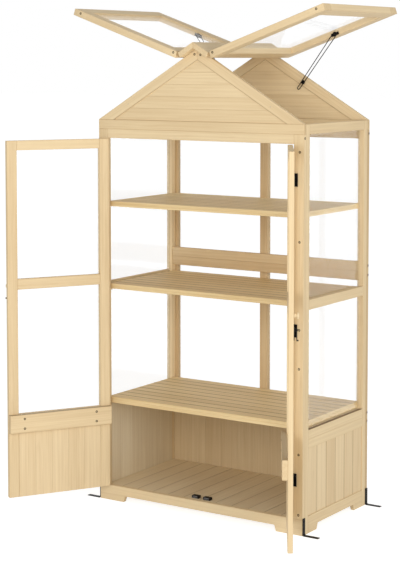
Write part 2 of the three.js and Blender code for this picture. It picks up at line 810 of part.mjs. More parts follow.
// Lid frame in its group: the hinge axis is y, the lid runs outwards
function lidFrame(side) {
  const near = LID_JOINT;
  const x = span(side, near, near + LID_LENGTH);
  const opening = span(side, near + LID_MEMBER, near + LID_LENGTH - LID_MEMBER);
  const y = [LID_WIDE_LOW, LID_WIDE_HIGH];
  const inner = [y[0] + LID_MEMBER, y[1] - LID_MEMBER];
  const whole = board(x, y, [LID_UNDER, LID_OVER]);
  const window = board(opening, inner, [LID_UNDER - PAST, LID_OVER + PAST]);
  const middle = LID_OVER - LID_PANE_DOWN;
  const half = PANE_THICK / 2 + PANE_CLEAR;
  const groove = board(
    [opening[0] - GROOVE_DEEP, opening[1] + GROOVE_DEEP],
    [inner[0] - GROOVE_DEEP, inner[1] + GROOVE_DEEP],
    [middle - half, middle + half],
  );
  const bevel = [
    [near, -LID_BEVEL_DOWN],
    [near + LID_BEVEL_IN, LID_OVER],
    [near + LID_BEVEL_IN, LID_OVER + PAST],
    [near - PAST, LID_OVER + PAST],
    [near - PAST, -LID_BEVEL_DOWN],
  ];
  const bevelled = bevel.map(([u, v]) => [side * u, v]);
  return cut(whole, [window, groove, pushed("y", bevelled, y[0] - PAST, y[1] + PAST)]);
}

function lidPane(side) {
  const lap = GROOVE_DEEP - PANE_CLEAR;
  const near = LID_JOINT + LID_MEMBER - lap;
  const far = LID_JOINT + LID_LENGTH - LID_MEMBER + lap;
  const middle = LID_OVER - LID_PANE_DOWN;
  return board(
    span(side, near, far),
    [LID_WIDE_LOW + LID_MEMBER - lap, LID_WIDE_HIGH - LID_MEMBER + lap],
    [middle - PANE_THICK / 2, middle + PANE_THICK / 2],
  );
}

// Plane of the stay wire, just inside the rear member of the lid
const SADDLE_FACE = LID_WIDE_HIGH - LID_MEMBER - SEAT;
const STAY_PLANE = SADDLE_FACE - SADDLE_THICK - SEAT - STAY_WIRE;

// Saddle on the lid: plate, pin and head
function stayBracket(side) {
  const x = side * STAY_FROM_PIVOT;
  const z = -STAY_BELOW_PIVOT;
  const half = SADDLE_LONG / 2;
  const high = SADDLE_HIGH / 2;
  const end = STAY_PLANE - STAY_WIRE - SEAT;
  return join([
    board([x - half, x + half], [SADDLE_FACE - SADDLE_THICK, SADDLE_FACE], [z - high, z + high]),
    rod("y", x, z, SADDLE_PIN, end, SADDLE_FACE - SADDLE_THICK / 2),
    rod("y", x, z, SADDLE_HEAD, end - SADDLE_THICK, end),
  ]);
}

// Round wire along a curve
function wireAlong(curve, steps) {
  const section = new THREE.Shape(
    circle(0, 0, STAY_WIRE, ROUND / 2).map(([u, v]) => new THREE.Vector2(u, v)),
  );
  const made = new THREE.ExtrudeGeometry(section, {
    steps,
    extrudePath: curve,
    bevelEnabled: false,
  });
  return solidOf(made);
}

// Wire stay hanging straight down in its group: hub, two legs and a round foot
function stay() {
  const top = STAY_TOP_WIDE / 2;
  const foot = STAY_END_WIDE / 2;
  const low = -STAY_LONG + foot + STAY_WIRE;
  const at = (x, z) => new THREE.Vector3(x, 0, z);
  const steps = ROUND / 2;
  const corners = [at(-foot, low + STAY_WIRE)];
  for (let i = 0; i <= steps; i += 1) {
    const turn = Math.PI * (i / steps);
    corners.push(at(-foot * Math.cos(turn), low - foot * Math.sin(turn)));
  }
  corners.push(at(foot, low + STAY_WIRE));
  const bend = new THREE.CatmullRomCurve3(corners, false, "chordal");
  const legs = [-1, 1].map((hand) =>
    wireAlong(new THREE.LineCurve3(at(hand * top, 0), at(hand * foot, low)), 1),
  );
  const hub = rod("y", 0, 0, STAY_HUB, -STAY_WIRE, STAY_WIRE);
  const bore = rod("y", 0, 0, SADDLE_PIN + PIN_CLEAR, -STAY_WIRE - PAST, STAY_WIRE + PAST);
  return cut(join([...legs, wireAlong(bend, ROUND), hub]), [bore]);
}

// Where the right stay is pinned, at rest, and where its foot hooks
function stayTop(side) {
  const lift = THREE.MathUtils.degToRad(LID_OPEN_DEG);
  const [x, z] = onSlope(1, LID_PIVOT_ALONG, LID_PIVOT_OUT);
  const along = STAY_FROM_PIVOT;
  const down = -STAY_BELOW_PIVOT;
  const px = x + along * Math.cos(lift) - down * Math.sin(lift);
  const pz = z + along * Math.sin(lift) + down * Math.cos(lift);
  return [side * px, pz];
}

function pegAt(side) {
  const [x, z] = stayTop(1);
  const turn = THREE.MathUtils.degToRad(STAY_ANGLE_DEG);
  return [side * (x + STAY_TO_PEG * Math.cos(turn)), z - STAY_TO_PEG * Math.sin(turn)];
}

// Round peg on the inside of the rear rake, its disc just behind the wires
function stayPeg(side) {
  const [x, z] = pegAt(side);
  const end = STAY_PLANE + STAY_WIRE + PEG_SHORT;
  return join([
    rod("y", x, z, PEG_RADIUS, end + PEG_DISC_THICK / 2, REAR_INSIDE),
    rod("y", x, z, PEG_DISC, end, end + PEG_DISC_THICK),
  ]);
}

const WOOD = { color: 0xe3c48e, roughness: 0.68, metalness: 0 };
const BLACK = { color: 0x1c1b1a, roughness: 0.42, metalness: 0.6 };
const CLEAR = { color: 0xeef4f5, roughness: 0.08, metalness: 0, transparent: true, opacity: 0.25 };

function piece(name, solid, look) {
  const made = new THREE.Mesh(geometryOf(solid), new THREE.MeshStandardMaterial(look));
  made.name = name;
  return made;
}

const cabinet = new THREE.Group();
cabinet.name = "wooden_mini_greenhouse";

cabinet.add(
  piece("front_plinth", frontPlinth(), WOOD),
  piece("front_left_stile", frontStile(-1), WOOD),
  piece("front_right_stile", frontStile(1), WOOD),
  piece("front_header_rail", frontHeader(), WOOD),
  piece("left_side_frame", sideFrame(-1), WOOD),
  piece("right_side_frame", sideFrame(1), WOOD),
  piece("left_side_boards", sideBoards(-1), WOOD),
  piece("right_side_boards", sideBoards(1), WOOD),
  piece("left_side_pane", sidePane(-1), CLEAR),
  piece("right_side_pane", sidePane(1), CLEAR),
  piece("rear_frame", rearFrame(), WOOD),
  piece("rear_pane", rearPane(), CLEAR),
  piece("floor_boards", floorBoards(), WOOD),
  piece("top_shelf", shelf(TOP_SHELF, SHELF_DEEP), WOOD),
  piece("middle_shelf", shelf(MIDDLE_SHELF, SHELF_DEEP), WOOD),
  piece("bottom_shelf", shelf(STORE_TOP + BOTTOM_SHELF_DEEP, BOTTOM_SHELF_DEEP), WOOD),
  piece("front_gable", gable(0), WOOD),
  piece("rear_gable", gable(REAR_INSIDE), WOOD),
  piece("ridge_cap", ridgeCap(), WOOD),
);

for (const [name, side] of [
  ["left", -1],
  ["right", 1],
]) {
  cabinet.add(piece(`${name}_front_anchor`, anchor(side, 0), BLACK));
  cabinet.add(piece(`${name}_rear_anchor`, anchor(side, DEPTH - ANCHOR_WIDE), BLACK));
  cabinet.add(piece(`${name}_stay_peg`, stayPeg(side), BLACK));

  HINGE_CENTERS.forEach((center, i) => {
    const leaf = piece(`${name}_door_hinge_${i + 1}_frame_leaf`, doorLeaf(side, true), BLACK);
    leaf.position.set(side * DOORWAY, -HINGE_STANDOFF, center);
    cabinet.add(leaf);
  });

  const [px, pz] = onSlope(side, LID_PIVOT_ALONG, LID_PIVOT_OUT);
  const ridgeLeaf = piece(`${name}_lid_hinge_ridge_leaf`, lidLeaf(side, true), BLACK);
  ridgeLeaf.position.set(px, 0, pz);
  ridgeLeaf.rotation.y = side * SLOPE;
  cabinet.add(ridgeLeaf);

  const door = new THREE.Group();
  door.name = `${name}_door`;
  door.position.set(side * DOORWAY, -HINGE_STANDOFF, 0);
  door.rotation.z = side * THREE.MathUtils.degToRad(DOOR_OPEN_DEG);
  door.add(
    piece(`${name}_door_frame`, doorFrame(side), WOOD),
    piece(`${name}_door_boards`, doorBoards(side), WOOD),
    piece(`${name}_door_pane`, doorPane(side), CLEAR),
    piece(`${name}_door_knob`, knob(side), WOOD),
  );
  HINGE_CENTERS.forEach((center, i) => {
    const leaf = piece(`${name}_door_hinge_${i + 1}_door_leaf`, doorLeaf(-side, false), BLACK);
    leaf.position.set(0, 0, center);
    door.add(leaf);
  });
  if (side > 0) {
    door.add(piece("latch_plate", latchPlate(side), BLACK));
    door.add(piece("latch_lever", latchLever(side), BLACK));
  } else {
    door.add(piece("latch_keeper", latchKeeper(side), BLACK));
  }
  cabinet.add(door);

  const lid = new THREE.Group();
  lid.name = `${name}_lid`;
  lid.position.set(px, 0, pz);
  lid.rotation.y = -side * THREE.MathUtils.degToRad(LID_OPEN_DEG);
  lid.add(
    piece(`${name}_lid_frame`, lidFrame(side), WOOD),
    piece(`${name}_lid_pane`, lidPane(side), CLEAR),
    piece(`${name}_lid_hinge_lid_leaf`, lidLeaf(side, false), BLACK),
    piece(`${name}_stay_bracket`, stayBracket(side), BLACK),
  );
  cabinet.add(lid);

  const [sx, sz] = stayTop(side);
  const stayGroup = new THREE.Group();
  stayGroup.name = `${name}_stay_group`;
  stayGroup.position.set(sx, STAY_PLANE, sz);
  stayGroup.rotation.y = side * THREE.MathUtils.degToRad(STAY_ANGLE_DEG - 90);
  stayGroup.add(piece(`${name}_stay`, stay(), BLACK));
  cabinet.add(stayGroup);
}

// The whole stands on the ground with its rest outline centred
cabinet.updateMatrixWorld(true);
const outline = new THREE.Box3().setFromObject(cabinet);
const middle = outline.getCenter(new THREE.Vector3());
cabinet.position.set(-middle.x, -middle.y, -outline.min.z);

export default cabinet;
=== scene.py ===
import json
import math

import bpy
import numpy as np
from mathutils import Matrix, Vector


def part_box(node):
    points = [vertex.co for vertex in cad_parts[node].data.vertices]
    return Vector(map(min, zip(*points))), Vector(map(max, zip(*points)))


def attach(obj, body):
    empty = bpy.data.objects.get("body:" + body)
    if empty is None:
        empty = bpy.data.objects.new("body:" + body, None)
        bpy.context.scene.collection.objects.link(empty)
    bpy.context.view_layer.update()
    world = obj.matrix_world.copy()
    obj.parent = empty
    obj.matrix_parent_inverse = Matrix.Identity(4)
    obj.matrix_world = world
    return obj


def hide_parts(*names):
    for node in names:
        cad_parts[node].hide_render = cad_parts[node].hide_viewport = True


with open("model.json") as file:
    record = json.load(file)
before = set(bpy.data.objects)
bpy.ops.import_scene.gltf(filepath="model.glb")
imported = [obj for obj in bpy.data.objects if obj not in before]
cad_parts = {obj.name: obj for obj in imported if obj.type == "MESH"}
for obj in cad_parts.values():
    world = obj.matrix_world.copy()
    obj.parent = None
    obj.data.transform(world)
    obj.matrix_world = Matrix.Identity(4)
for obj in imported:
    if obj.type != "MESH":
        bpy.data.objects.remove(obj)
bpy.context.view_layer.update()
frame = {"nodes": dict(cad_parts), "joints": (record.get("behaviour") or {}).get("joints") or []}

# Camera: at the right of the open doors, a little below the gable point, six and a half
# metres away behind a long lens. It looks slightly down, and the shift lifts its picture.
def into_scene(name, data):
    """A new object of the scene, which sits at the origin."""
    made = bpy.data.objects.new(name, data)
    bpy.context.scene.collection.objects.link(made)
    return made


camera = into_scene("camera", bpy.data.cameras.new("camera"))
camera.location = (3.5539, -5.4296, 1.8862)
looks_down, looks_left = 3.9579, 33.5171
camera.rotation_euler = (math.radians(90 - looks_down), 0, math.radians(looks_left))
camera.data.sensor_width = 36
camera.data.lens = 101.408
camera.data.shift_y = -0.2
bpy.context.scene.camera = camera
bpy.context.scene.view_settings.view_transform = "Standard"


# Studio: a pale seamless floor in a white room, with one broad soft light in front and another
# from the right, as in a catalogue picture. Floor and room look white to the camera, in gloss
# and through the clear sheets, and light the object less than that.
def add_node(tree, kind, feeds=None, **settings):
    """Adds one node. Each entry of feeds is a socket and the value or the output that goes into it."""
    node = tree.nodes.new(kind)
    for key, value in settings.items():
        setattr(node, key, value)
    for socket, value in (feeds or {}).items():
        if isinstance(value, bpy.types.NodeSocket):
            tree.links.new(value, node.inputs[socket])
        else:
            node.inputs[socket].default_value = value
    return node


def new_material(name, **constants):
    """A material with its Principled shader, whose named sockets take the constants given."""
    made = bpy.data.materials.new(name)
    made.use_nodes = True
    shader = made.node_tree.nodes["Principled BSDF"]
    for socket, value in constants.items():
        shader.inputs[socket.replace("_", " ")].default_value = value
    return made, made.node_tree, shader


def mixed(tree, share, first, second):
    """A colour that gives way to a second one by its share, from 0 to 1."""
    feeds = {0: share, 6: first, 7: second}
    return add_node(tree, "ShaderNodeMix", feeds, data_type="RGBA").outputs[2]


def seen_or_mirrored(tree):
    """One for what the camera sees directly, in gloss or through a clear sheet, zero for light."""
    way = add_node(tree, "ShaderNodeLightPath").outputs
    most = way["Is Camera Ray"]
    for ray in ("Is Glossy Ray", "Is Transmission Ray"):
        most = add_node(tree, "ShaderNodeMath", {0: most, 1: way[ray]}, operation="MAXIMUM").outputs[0]
    return most


white, dim = (1, 1, 1, 1), (0.35, 0.35, 0.35, 1)
pale_floor, tree, shader = new_material(
    "pale_floor", Base_Color=(0.55, 0.55, 0.55, 1), Roughness=0.9, Specular_IOR_Level=0.0,
    Emission_Strength=0.78,
)
tree.links.new(mixed(tree, seen_or_mirrored(tree), dim, white), shader.inputs["Emission Color"])
floor_reach = 60.0
around = [(x * floor_reach, y * floor_reach, 0) for x, y in ((-1, -1), (1, -1), (1, 1), (-1, 1))]
floor_mesh = bpy.data.meshes.new("studio_floor")
floor_mesh.from_pydata(around, [], [(0, 1, 2, 3)])
floor_mesh.materials.append(pale_floor)
into_scene("studio_floor", floor_mesh)

room = bpy.data.worlds.new("white_room")
bpy.context.scene.world = room
room.use_nodes = True
tree = room.node_tree
tree.nodes.clear()
feeds = {0: seen_or_mirrored(tree)}
for socket, strength in ((1, 0.46), (2, 1.0)):
    glow = add_node(tree, "ShaderNodeBackground", {"Color": white, "Strength": strength})
    feeds[socket] = glow.outputs[0]
either = add_node(tree, "ShaderNodeMixShader", feeds)
add_node(tree, "ShaderNodeOutputWorld", {"Surface": either.outputs[0]})


def soft_light(name, place, target, size, watts):
    """A square soft box at a place, turned to face a target."""
    lamp = bpy.data.lights.new(name, "AREA")
    lamp.size = size
    lamp.energy = watts
    made = into_scene(name, lamp)
    made.location = place
    made.rotation_euler = (Vector(place) - Vector(target)).to_track_quat("Z", "Y").to_euler()


soft_light("key_light", (1.6, -6.2, 2.3), (0, 0, 0.9), 3.2, 166)
soft_light("side_light", (5.8, -2.4, 1.8), (0.3, 0, 0.8), 3.2, 146)


# Front frame: a plinth with two feet, two uprights and a header of eighteen millimetre fir,
# butted and screwed through the face. Each board is planed and its arrises are eased.
X, Y, Z = 0, 1, 2
hands = (("left", -1), ("right", 1))
saw = np.random.default_rng(11)
ease, trunk_long = 0.0014, 40


def shell(at, closed=False, **marks):
    """A surface through rings of points, each joined to the next by a band of quads. Both ends
    are flat, or the last ring is joined to the first where it is closed. Marks are by point."""
    count, points = at.shape[:2]
    row, k = np.arange(count if closed else count - 1)[:, None], np.arange(points)
    after, up = np.roll(k, -1), (row + 1) % count
    quads = [row * points + k, row * points + after, up * points + after, up * points + k]
    caps = [] if closed else [k[::-1], (count - 1) * points + k]
    return {"at": at.reshape(-1, 3), "quads": np.stack(quads, -1).reshape(-1, 4), "caps": caps, **marks}


def plank(section, low, high, along, grain=None, edge=ease, lean=((0, 0), (0, 0))):
    """A board whose section is a convex outline, given anticlockwise in the two axes after along,
    and carried along that axis from low to high. Every corner of the section becomes a quarter
    circle between its two sides' normals, and at both ends the section draws in along a quarter
    circle and closes flat. lean moves an end along the board in proportion to the place in the
    section, which cuts it at a slant. edge is the radius of the arrises, one for all or one for
    each corner of the section, and the ends take the smallest. A narrow flat strip beside each
    arris keeps the faces flat in the shading. The grain attribute is the place along the grain
    and the two offsets from the pith. The other marks are the arris, the end grain, each board's
    own tone, the painted shade of a joint, and how much less yellow the wood is painted for the
    cooler light inside the base."""
    widest_edge, widest_flat, flat_share = 0.3, 0.003, 0.12
    pith_swing, pith_near, pith_far = 0.8, 0.02, 0.08
    grain = along if grain is None else grain
    section = np.array(section, float)
    p, q = (along + 1) % 3, (along + 2) % 3
    middle = (section.min(0) + section.max(0)) / 2
    corners = section - middle
    sides = np.roll(corners, -1, 0) - corners
    sides /= np.linalg.norm(sides, axis=1)[:, None]
    out = np.stack([sides[:, 1], -sides[:, 0]], 1)
    before = np.roll(out, 1, 0)
    thin = min(np.ptp(section, 0).min(), high - low)
    edge = np.minimum(np.broadcast_to(edge, len(corners)), widest_edge * thin)
    end = edge.min()
    flat = min(widest_flat, flat_share * thin)
    mid = (before + out) / np.linalg.norm(before + out, axis=1)[:, None]
    facing = np.stack([before, before, mid, out, out], 1).reshape(-1, 2)
    slide = np.stack([-np.roll(sides, 1, 0), 0 * sides, 0 * sides, 0 * sides, sides], 1).reshape(-1, 2)
    share = edge / edge.max()
    worn = (np.array([0, 0.7, 1, 0.7, 0]) * share[:, None]).ravel()
    eased = 1 - math.sqrt(0.5)
    drawn = end * np.array([[0.95], [0.95], [eased], [0], [0]])
    in_by = np.array([0, 0, end * eased, end, end + flat])
    radius = np.maximum(edge - drawn, 0.05 * edge)
    mitre = (before + out) / (1 + (before * out).sum(1))[:, None]
    centre = corners - (drawn + radius)[..., None] * mitre
    rings = np.repeat(centre, 5, 1) + np.repeat(radius, 5, 1)[..., None] * facing + flat * slide
    rings[0] *= 1 - flat / (0.5 * np.ptp(rings[0], 0).min())
    first = low + in_by[:, None] + rings @ np.array(lean[0])
    last = high - in_by[:, None] + rings @ np.array(lean[1])
    count, points = 2 * len(rings), len(worn)
    both = np.concatenate([rings, rings[::-1]])
    at = np.empty((count, points, 3))
    at[..., along] = np.concatenate([first, last[::-1]])
    at[..., [p, q]] = middle + both
    normal = np.zeros_like(at)
    tilt = np.radians([90, 90, 45, 0, 0, 0, 0, 45, 90, 90])[:, None]
    normal[..., [p, q]] = np.cos(tilt)[..., None] * facing
    normal[..., along] = np.sin(tilt)
    low_at, high_at = at.reshape(-1, 3).min(0), at.reshape(-1, 3).max(0)
    g = [(grain + 1) % 3, (grain + 2) % 3]
    half = (high_at - low_at)[g] / 2
    wide = int(np.argmax(half))
    pith = np.empty(2)
    pith[wide] = saw.uniform(-pith_swing, pith_swing) * half[wide]
    pith[1 - wide] = saw.choice([-1, 1]) * saw.uniform(pith_near, pith_far)
    place = np.empty_like(at)
    place[..., 0] = at[..., grain] + saw.uniform(0, trunk_long)
    place[..., 1:] = at[..., g] - (low_at + high_at)[g] / 2 - pith
    end_worn = np.array([0, 0.8, 1, 0.7, 0]) * share.min()
    return shell(
        at,
        grain=place.reshape(-1, 3),
        arris=np.maximum(worn, np.concatenate([end_worn, end_worn[::-1]])[:, None]).ravel(),
        end_grain=np.clip(2 * np.abs(normal[..., grain]) - 0.6, 0, 1).ravel(),
        tone=np.full(count * points, saw.uniform(0, 1)),
        joint=np.zeros(count * points),
        sheltered=np.zeros(count * points),
    )


def board(low, high, along, edge=ease, lean=((0, 0), (0, 0))):
    """A plank of rectangular section between two opposite corners."""
    low, high = np.minimum(low, high), np.maximum(low, high)
    p, q = (along + 1) % 3, (along + 2) % 3
    section = [(low[p], low[q]), (high[p], low[q]), (high[p], high[q]), (low[p], high[q])]
    return plank(section, low[along], high[along], along, None, edge, lean)


def footed(low, high, along, foot, foot_top, rise):
    """A plinth: one board above the cut, and a foot at each end whose inner end slants outwards
    with height, by foot_top less foot over the rise."""
    low, high = np.array(low, float), np.array(high, float)
    above, over = low.copy(), high.copy()
    above[Z] += rise
    over[Z] = above[Z] + 2 * ease
    made = [board(above, high, along)]
    wide, slant = (foot + foot_top) / 2, np.array([0, 0, (foot_top - foot) / rise])
    cut = slant[[(along + 1) % 3, (along + 2) % 3]]
    start, stop = low.copy(), over.copy()
    start[along], stop[along] = high[along] - wide, low[along] + wide
    made.append(board(low, stop, along, ease, ((0, 0), cut)))
    made.append(board(start, over, along, ease, (-cut, (0, 0))))
    return made


def fasten(name, parts, finish, body, slot, *nodes):
    """Puts parts into one mesh with the marks that all of them have, gives it its finish, and lets
    it ride on its body in place of the CAD nodes named."""
    starts = np.cumsum([0] + [len(part["at"]) for part in parts[:-1]])
    faces = []
    for start, part in zip(starts, parts):
        faces += (part["quads"] + start).tolist()
        faces += [(cap + start).tolist() for cap in part["caps"]]
    mesh = bpy.data.meshes.new(name)
    mesh.from_pydata(np.concatenate([part["at"] for part in parts]).tolist(), [], faces)
    shared = set.intersection(*(set(part) for part in parts))
    for key in sorted(shared - {"at", "quads", "caps"}):
        values = np.concatenate([part[key] for part in parts]).astype(np.float32)
        kind, field = ("FLOAT_VECTOR", "vector") if values.ndim == 2 else ("FLOAT", "value")
        mesh.attributes.new(key, kind, "POINT").data.foreach_set(field, values.ravel())
    mesh.shade_smooth()
    mesh.materials.append(finish)
    made = into_scene(name, mesh)
    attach(made, body)
    if nodes:
        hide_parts(*nodes)


def sums(tree, operation, first, second=0.0, third=0.0, clamp=False):
    """One step of arithmetic on single values."""
    feeds = {0: first, 1: second, 2: third}
    return add_node(tree, "ShaderNodeMath", feeds, operation=operation, use_clamp=clamp).outputs[0]


def stretched_noise(tree, place, along, across, detail=2.0, roughness=0.5):
    """Noise from 0 to 1, read at the place times one stretch along the first axis and another
    one across it."""
    stretch = {0: place, 1: (along, across, across)}
    wide = add_node(tree, "ShaderNodeVectorMath", stretch, operation="MULTIPLY")
    feeds = {"Vector": wide.outputs[0], "Scale": 1.0, "Detail": detail, "Roughness": roughness}
    return add_node(tree, "ShaderNodeTexNoise", feeds).outputs[0]


def group_with(name, inputs, outputs):
    """An empty node group with named inputs and outputs."""
    group = bpy.data.node_groups.new(name, "ShaderNodeTree")
    for sockets, way in ((inputs, "INPUT"), (outputs, "OUTPUT")):
        for label, kind in sockets.items():
            group.interface.new_socket(label, in_out=way, socket_type=f"NodeSocket{kind}")
    return group


wood_marks = ("grain", "tone", "arris", "end_grain", "joint", "sheltered")


def fir_grain():
    """Growth rings are circles round the pith, so a ring's number is the distance from the pith,
    with a slow wander along the trunk, over the ring's width. Late wood darkens the end of each
    ring, and fine fibre, streaks and slow clouds of colour run with the grain. Arrises are tinted
    darker: painted shade and dirt along the edges and where parts meet. Joints between boards take
    painted shade and dirt towards dark brown, and faces marked like joints take painted shade.
    Wood marked for the cooler light inside the base is painted less yellow."""
    amounts = ("Ring width", "Contrast", "Arris tint", "Joint shade")
    inputs = dict.fromkeys((*wood_marks, *amounts), "Float")
    inputs |= {"grain": "Vector", "Light wood": "Color", "Dark wood": "Color"}
    outputs = {"Color": "Color", "Roughness": "Float", "Height": "Float"}
    group = group_with("fir_grain", inputs, outputs)
    given = add_node(group, "NodeGroupInput").outputs
    place = given["grain"]
    parts = add_node(group, "ShaderNodeSeparateXYZ", {0: place}).outputs
    squares = [sums(group, "POWER", part, 2.0) for part in (parts[1], parts[2])]
    radius = sums(group, "SQRT", sums(group, "ADD", *squares))
    for along, across, swing in ((1.1, 9.0, 0.022), (6.0, 60.0, 0.0016)):
        wander = stretched_noise(group, place, along, across)
        radius = sums(group, "MULTIPLY_ADD", wander, swing, radius)
    radius = sums(group, "MULTIPLY_ADD", parts[0], 0.006, radius)
    turn = sums(group, "FRACT", sums(group, "DIVIDE", radius, given["Ring width"]))
    late = add_node(group, "ShaderNodeValToRGB", {0: turn})
    stops = late.color_ramp.elements
    stops[0].position, stops[0].color = 0.0, (0.25, 0.25, 0.25, 1)
    stops[1].position, stops[1].color = 1.0, (0.25, 0.25, 0.25, 1)
    for position, shade in ((0.12, 0.0), (0.62, 0.22), (0.88, 1.0)):
        stops.new(position).color = (shade, shade, shade, 1)
    patches = stretched_noise(group, place, 0.7, 22.0, 1.0)
    rings = sums(group, "MULTIPLY", late.outputs[0],
                 sums(group, "MULTIPLY_ADD", patches, 1.5, -0.35, clamp=True))
    fibre = stretched_noise(group, place, 9.0, 900.0, 3.0, 0.6)
    streak = stretched_noise(group, place, 2.2, 130.0, 2.0, 0.6)
    cloud = stretched_noise(group, place, 1.6, 12.0)
    dark = sums(group, "MULTIPLY", rings, 0.26)
    for noise, level, weight in ((streak, 0.47, 0.85), (fibre, 0.5, 0.40), (cloud, 0.48, 0.50)):
        dark = sums(group, "MULTIPLY_ADD", sums(group, "SUBTRACT", noise, level), weight, dark)
    dark = sums(group, "MULTIPLY", dark, given["Contrast"])
    tone = sums(group, "SUBTRACT", given["tone"], 0.5)
    weights = ((tone, 0.30), (given["arris"], given["Arris tint"]), (given["end_grain"], 0.16))
    for mark, weight in weights:
        dark = sums(group, "MULTIPLY_ADD", mark, weight, dark)
    dark = sums(group, "ADD", dark, 0.22, clamp=True)
    wood = mixed(group, dark, given["Light wood"], given["Dark wood"])
    less_yellow = {0: wood, 1: (1.02, 1.12, 1.30)}
    paler = add_node(group, "ShaderNodeVectorMath", less_yellow, operation="MULTIPLY").outputs[0]
    wood = mixed(group, given["sheltered"], wood, paler)
    joint_shade_and_dirt = sums(group, "MULTIPLY", given["joint"], given["Joint shade"])
    wood = mixed(group, joint_shade_and_dirt, wood, (0.15, 0.085, 0.038, 1))
    rough = sums(group, "MULTIPLY_ADD", fibre, 0.22, 0.44)
    rough = sums(group, "MULTIPLY_ADD", given["end_grain"], 0.12, rough)
    height = sums(group, "MULTIPLY_ADD", rings, 0.5, fibre)
    add_node(group, "NodeGroupOutput", {"Color": wood, "Roughness": rough, "Height": height})
    return group


grain_group = fir_grain()


def dress(tree, shader, height, strength, relief, **feeds):
    """Links outputs into the sockets named, and raises the surface by the height times the relief."""
    bump = {"Height": height, "Strength": strength, "Distance": relief}
    feeds["Normal"] = add_node(tree, "ShaderNodeBump", bump).outputs[0]
    for socket, output in feeds.items():
        tree.links.new(output, shader.inputs[socket.replace("_", " ")])


yellow_fir, brown_fir = (0.80, 0.635, 0.39), (0.61, 0.44, 0.24)


def fir(name, light=yellow_fir, dark=brown_fir, contrast=1.1, arris_tint=0.22, joint=0.45):
    """Clear-coated fir: the shared grain, read from each board's own marks."""
    made, tree, shader = new_material(name, Specular_IOR_Level=0.2)
    feeds = {
        "Light wood": (*light, 1), "Dark wood": (*dark, 1), "Ring width": 0.0030,
        "Contrast": contrast, "Arris tint": arris_tint, "Joint shade": joint,
    }
    for mark in wood_marks:
        read = add_node(tree, "ShaderNodeAttribute", attribute_name=mark).outputs
        feeds[mark] = read["Vector" if mark == "grain" else "Fac"]
    grain = add_node(tree, "ShaderNodeGroup", feeds, node_tree=grain_group).outputs
    dress(
        tree, shader, grain["Height"], 0.6, 0.00022,
        Base_Color=grain["Color"], Roughness=grain["Roughness"],
    )
    return made


# Its strong joint shade darkens only the top of the storage rail, as painted shade over the gap there.
frame_fir = fir("frame_fir", joint=0.85)
foot, foot_top, rise = 0.123, 0.131, 0.025
fasten(
    "front_plinth_board",
    footed(*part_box("front_plinth"), X, foot, foot_top, rise),
    frame_fir, "cabinet", "frame_wood", "front_plinth",
)
for side, _ in hands:
    node = f"front_{side}_stile"
    fasten(f"{side}_front_upright", [board(*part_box(node), Z)], frame_fir, "cabinet", "frame_wood", node)
fasten(
    "front_header_board",
    [board(*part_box("front_header_rail"), X)],
    frame_fir, "cabinet", "frame_wood", "front_header_rail",
)

# Side frames: two square posts, joined by a footed plinth, a doubled rail at the height of the
# storage shelf, a middle rail and a top rail, all sixteen millimetres thick and flush outside.
def shade_top(part, top):
    """Marks the upper face of a part like a joint, so that the finish darkens it with painted shade."""
    part["joint"] = (part["at"][:, Z] > top - ease / 2).astype(float)


post, rail_thick, front_thick = 0.028, 0.016, 0.018
side_foot, side_foot_top, side_plinth_high = 0.116, 0.126, 0.070
store_rail_low, store_seam, store_top, sill_low, eaves = 0.342, 0.380, 0.418, 1.592, 1.632
store_rails = ((store_rail_low, store_seam), (store_seam, store_top))
for side, sign in hands:
    low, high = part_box(f"{side}_side_frame")
    half, near, far = high.x if sign > 0 else -low.x, low.y, high.y
    inner, rail = half - post, half - rail_thick
    parts = [
        board((sign * inner, near, 0), (sign * half, near + post, eaves), Z),
        board((sign * inner, far - post, 0), (sign * half, far, eaves), Z),
    ]
    for base, top in (*store_rails, (0.898, 0.938), (sill_low, eaves)):
        made = board((sign * rail, near + post, base), (sign * half, far - post, top), Y)
        # The gap over the storage rail, under the end of the shelf, is always in shade, which is painted
        # onto the rail's top.
        if top == store_top:
            shade_top(made, top)
        parts.append(made)
    # The feet are measured from the face of the front frame, and the plinth starts behind the post.
    hidden = front_thick + post
    parts += footed(
        (sign * rail, near + post, 0), (sign * half, far - post, side_plinth_high),
        Y, side_foot - hidden, side_foot_top - hidden, rise,
    )
    fasten(f"{side}_side_framing", parts, frame_fir, "cabinet", "frame_wood", f"{side}_side_frame")


# Side panels of the storage base: tongued and grooved boards set upright, in two layers. Smooth
# ones line the base behind the rails, and jointed ones fill the opening of the frame outside.
board_thick, joint_ease, joint_slot, tongue, tight = 0.012, 0.0016, 0.0004, 0.004, 0.0002
board_pitch = 0.076
board_fir = fir("board_fir", (0.80, 0.635, 0.395), (0.60, 0.43, 0.235), joint=0.4)


def jointed(part, corners):
    """The same four-cornered board, with the arrises of these corners marked as part of a joint, which
    the finish darkens with painted shade and dirt.
    """
    mark = np.array([0, 0.7, 1, 0.7, 0]) * np.array(corners, float)[:, None]
    part["joint"] = np.tile(mark.ravel(), len(part["at"]) // mark.size)
    return part


